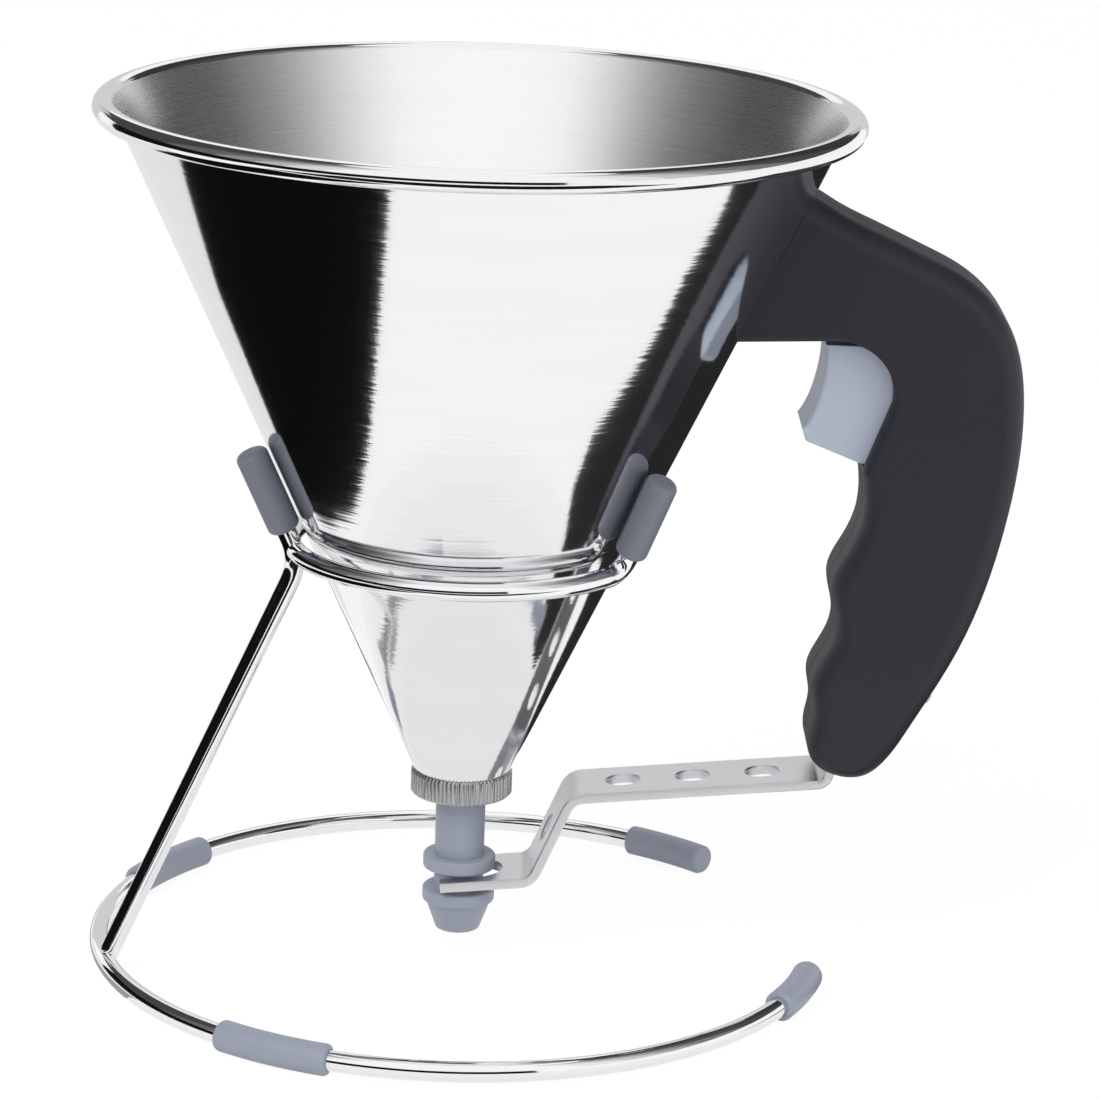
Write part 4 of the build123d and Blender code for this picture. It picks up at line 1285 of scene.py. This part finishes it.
class FUNNEL_OT_inner(bpy.types.Operator):
    """Gives the pieces inside the funnel and the handle their finishes"""

    bl_idname = "funnel.inner"
    bl_label = "Inner pieces"

    def execute(self, context):
        hidden = (
            "handle_bracket", "handle_screws", "pivot_pin", "return_spring", "lever_arm", "lever_rivets",
            "trigger_pin", "neck_ring",
        )
        for name in hidden:
            self.paint(name, finish_of(plain_steel))
        for name in ("neck_seal", "piston_seal"):
            self.paint(name, finish_of(seal_rubber))
        return {"FINISHED"}

    def paint(self, name, finish):
        """Puts a finish on all of a node's material slots."""
        data = nodes[name].data
        if not data.materials:
            data.materials.append(finish)
        for n in range(len(data.materials)):
            data.materials[n] = finish


class FUNNEL_OT_stage(bpy.types.Operator):
    """Sets up the white floor, the cards, the lamps and the camera"""

    bl_idname = "funnel.stage"
    bl_label = "Stage"

    def execute(self, context):
        stage = settings().stage
        scene = context.scene
        scene.view_settings.view_transform = "Standard"
        self.world(scene, stage.ambient)
        self.floor(stage.shadow)
        self.cards()
        middle = Vector(stage.aim)
        self.lamp("key", Vector((-0.55, -0.75, 1.05)), middle, 0.8, stage.key_power)
        self.lamp("fill", Vector((0.95, -0.5, 0.6)), middle, 0.7, stage.fill_power)
        camera = bpy.data.objects.new("camera", bpy.data.cameras.new("camera"))
        scene.collection.objects.link(camera)
        camera.data.lens = stage.lens
        camera.data.sensor_width = 36
        camera.data.clip_end = 50
        camera.location = stage.eye
        facing = (middle - Vector(stage.eye)).to_track_quat("-Z", "Y")
        camera.rotation_mode = "QUATERNION"
        camera.rotation_quaternion = facing @ Quaternion((0, 0, 1), stage.roll)
        scene.camera = camera
        return {"FINISHED"}

    def seen(self, finish):
        """1 on rays from the camera, from gloss and through glass, and 0 on others."""
        total = 0
        for ray in ("Is Camera Ray", "Is Glossy Ray", "Is Transmission Ray"):
            total = finish.node("ShaderNodeLightPath", None, ray) + total
        return finish.maths("MINIMUM", total, 1.0)

    def world(self, scene, ambient):
        """White all round, dimmer as a light on matte surfaces."""
        world = bpy.data.worlds.new("white_room")
        scene.world = world
        finish = Finish(world)
        strength = ambient + self.seen(finish) * (1 - ambient)
        light = finish.node("ShaderNodeBackground", {"Color": (1, 1, 1, 1), "Strength": strength})
        finish.node("ShaderNodeOutputWorld", {"Surface": light})

    def floor(self, shadow):
        """A white floor that keeps a faint shadow."""
        half, bottom, top = 6, -2 * mm, -0.05 * mm
        corners = ((-half, -half), (half, -half), (half, half), (-half, half))
        rings = [[Vector((*corner, z)) for corner in corners] for z in (bottom, top)]
        floor = mesh_object("floor", loft(rings))
        material = bpy.data.materials.new("white_floor")
        finish = Finish(material)
        paper = finish.node("ShaderNodeBsdfDiffuse", {"Color": (0.93, 0.93, 0.93, 1)})
        white = finish.node("ShaderNodeEmission", {"Color": (1, 1, 1, 1), "Strength": 1.03})
        whiteness = self.seen(finish) * (1 - shadow)
        mixed = finish.node("ShaderNodeMixShader", {0: whiteness, 1: paper, 2: white})
        finish.node("ShaderNodeOutputMaterial", {"Surface": mixed})
        floor.data.materials.append(material)

    def cards(self):
        """Cards on the floor and walls round the object that only its gloss shows, with grey discs of
        painted shade on the floor under it.
        """
        flat = (
            ("left", 0.004, (
                (-85, -155), (-89, -116), (-92, -98), (-97, -52), (-104, -14), (-113, 25), (-120, 125),
                (-191, 172), (-235, 145), (-254, 123), (-340, 80), (-340, -155),
            )),
            ("under", 0.35, ((-76, -32), (-78, 30), (-70, 30), (-67, -32))),
            ("right", 0.02, (
                (64, -24), (86, -36), (90, -50), (106, -53), (135, -38), (159, -26), (181, -19), (206, -2),
                (226, 1), (300, 15), (340, 700), (30, 700), (20, 180), (48, 52), (72, 50), (96, 58),
                (114, 52), (113, 0), (100, -6), (88, -2), (76, 0), (66, -8),
            )),
            ("front", 0.01, ((-420, -185), (260, -185), (260, -470), (-420, -470))),
            ("back", 0.83, (
                (-120, 125), (-191, 172), (-235, 145), (-254, 123), (-340, 80), (-600, 150), (-600, 1200),
                (-70, 1200), (-70, 110),
            )),
            ("behind", 0.25, ((-50, 120), (-50, 420), (10, 420), (10, 140))),
        )
        for name, grey, corners in flat:
            self.card(f"card_{name}", self.sheet(corners, 1.0, 0.5), grey)
        # Grey discs under the funnel, darker towards the middle: painted shade on the floor beneath the
        # object, which only the metal's gloss shows
        for n, (radius, grey) in enumerate(((98, 0.96), (88, 0.92), (76, 0.885), (62, 0.855))):
            outline = disc_outline((0, 0), radius, 72)
            self.card(f"card_near_{n}", self.sheet(outline, 0.2 + 0.2 * n, 0.1), grey)
        self.card("wall_front", self.wall(-135, 20, 0, 16), 0.006)
        self.card("wall_back", self.wall(150, 210, 0, 22), 0.66)
        right = ((36, 0.85), (50, 0.62), (64, 0.38), (78, 0.2), (98, 0.07), (125, 0.04), (160, 0))
        left = ((-48, 0.75), (-60, 0.5), (-70, 0.28), (-84, 0.13), (-105, 0.06), (-160, 0))
        for side, steps in (("right", right), ("left", left)):
            for n, (step, after) in enumerate(zip(steps, steps[1:])):
                self.card(f"wall_{side}_{n}", self.wall(step[0], after[0], 16, 70), step[1])

    def aligned(self, x, y, z):
        """A place from the funnel's axis, to the camera's right, away from it and up."""
        return axis + Matrix.Rotation(settings().stage.card_turn, 3, "Z") @ Vector((x, y, z))

    def sheet(self, corners, low, thickness):
        """A flat card just above the floor, in millimetres."""
        heights = (low, low + thickness)
        return loft([[self.aligned(x * mm, y * mm, z * mm) for x, y in corners] for z in heights])

    def wall(self, start, stop, low, high):
        """A curved wall round the object between two bearings from the camera's side and two elevations."""
        far, thickness, level, ground = 0.9, 0.01, 0.08, 0.002
        rings = []
        for bearing in np.radians(np.linspace(start, stop, 24)):
            ring = []
            back = far + thickness
            for reach, lift in ((far, low), (far, high), (back, high), (back, low)):
                height = level + far * math.tan(math.radians(lift)) if lift else ground
                ring.append(self.aligned(reach * math.sin(bearing), -reach * math.cos(bearing), height))
            rings.append(ring)
        return loft(rings)

    def card(self, name, mesh, grey):
        """A card of one grey that only gloss shows."""
        card = mesh_object(name, mesh)
        material = bpy.data.materials.new(name)
        Finish(material).surface({
            "Base Color": (0, 0, 0, 1),
            "Roughness": 1.0,
            "Specular IOR Level": 0.0,
            "Emission Color": (grey, grey, grey, 1),
            "Emission Strength": 1.0,
        })
        card.data.materials.append(material)
        card.visible_camera = False
        card.visible_diffuse = False
        card.visible_shadow = False
        card.visible_transmission = False

    def lamp(self, name, place, aim, size, power):
        """A square soft lamp that points at the object."""
        data = bpy.data.lights.new(name, "AREA")
        data.energy = power
        data.size = size
        lamp = bpy.data.objects.new(name, data)
        bpy.context.scene.collection.objects.link(lamp)
        lamp.visible_glossy = False
        lamp.location = place
        lamp.rotation_euler = (aim - place).to_track_quat("-Z", "Y").to_euler()


piece_operators = (
    FUNNEL_OT_cone,
    FUNNEL_OT_nut,
    FUNNEL_OT_spout,
    FUNNEL_OT_wires,
    FUNNEL_OT_sleeves,
    FUNNEL_OT_pads,
    FUNNEL_OT_handle,
    FUNNEL_OT_trigger,
    FUNNEL_OT_lever,
    FUNNEL_OT_inner,
    FUNNEL_OT_stage,
)


class FUNNEL_PT_panel(bpy.types.Panel):
    """Lists the pieces of the funnel"""

    bl_idname = "FUNNEL_PT_panel"
    bl_label = "Piston funnel"
    bl_space_type = "VIEW_3D"
    bl_region_type = "UI"
    bl_category = "Funnel"

    def draw(self, context):
        for operator in piece_operators:
            self.layout.operator(operator.bl_idname)
        for group in ("funnel", "stand", "handle", "colours", "stage"):
            box = self.layout.box()
            box.label(text=group.capitalize())
            values = getattr(context.scene.piston_funnel, group)
            for name in values.__annotations__:
                box.prop(values, name, text=name.replace("_", " ").capitalize())


classes = (
    FunnelSizes, StandSizes, HandleSizes, Colours, StageSizes, FunnelSettings,
    *piece_operators, FUNNEL_PT_panel,
)


def register():
    """Adds the classes and the scene's settings."""
    for item in classes:
        bpy.utils.register_class(item)
    bpy.types.Scene.piston_funnel = PointerProperty(type=FunnelSettings)


def unregister():
    """Takes the settings and the classes out again."""
    del bpy.types.Scene.piston_funnel
    for item in reversed(classes):
        bpy.utils.unregister_class(item)


def main():
    """Builds every piece and the stage."""
    register()
    for operator in piece_operators:
        group, name = operator.bl_idname.split(".")
        getattr(getattr(bpy.ops, group), name)()


if __name__ == "__main__":
    main()
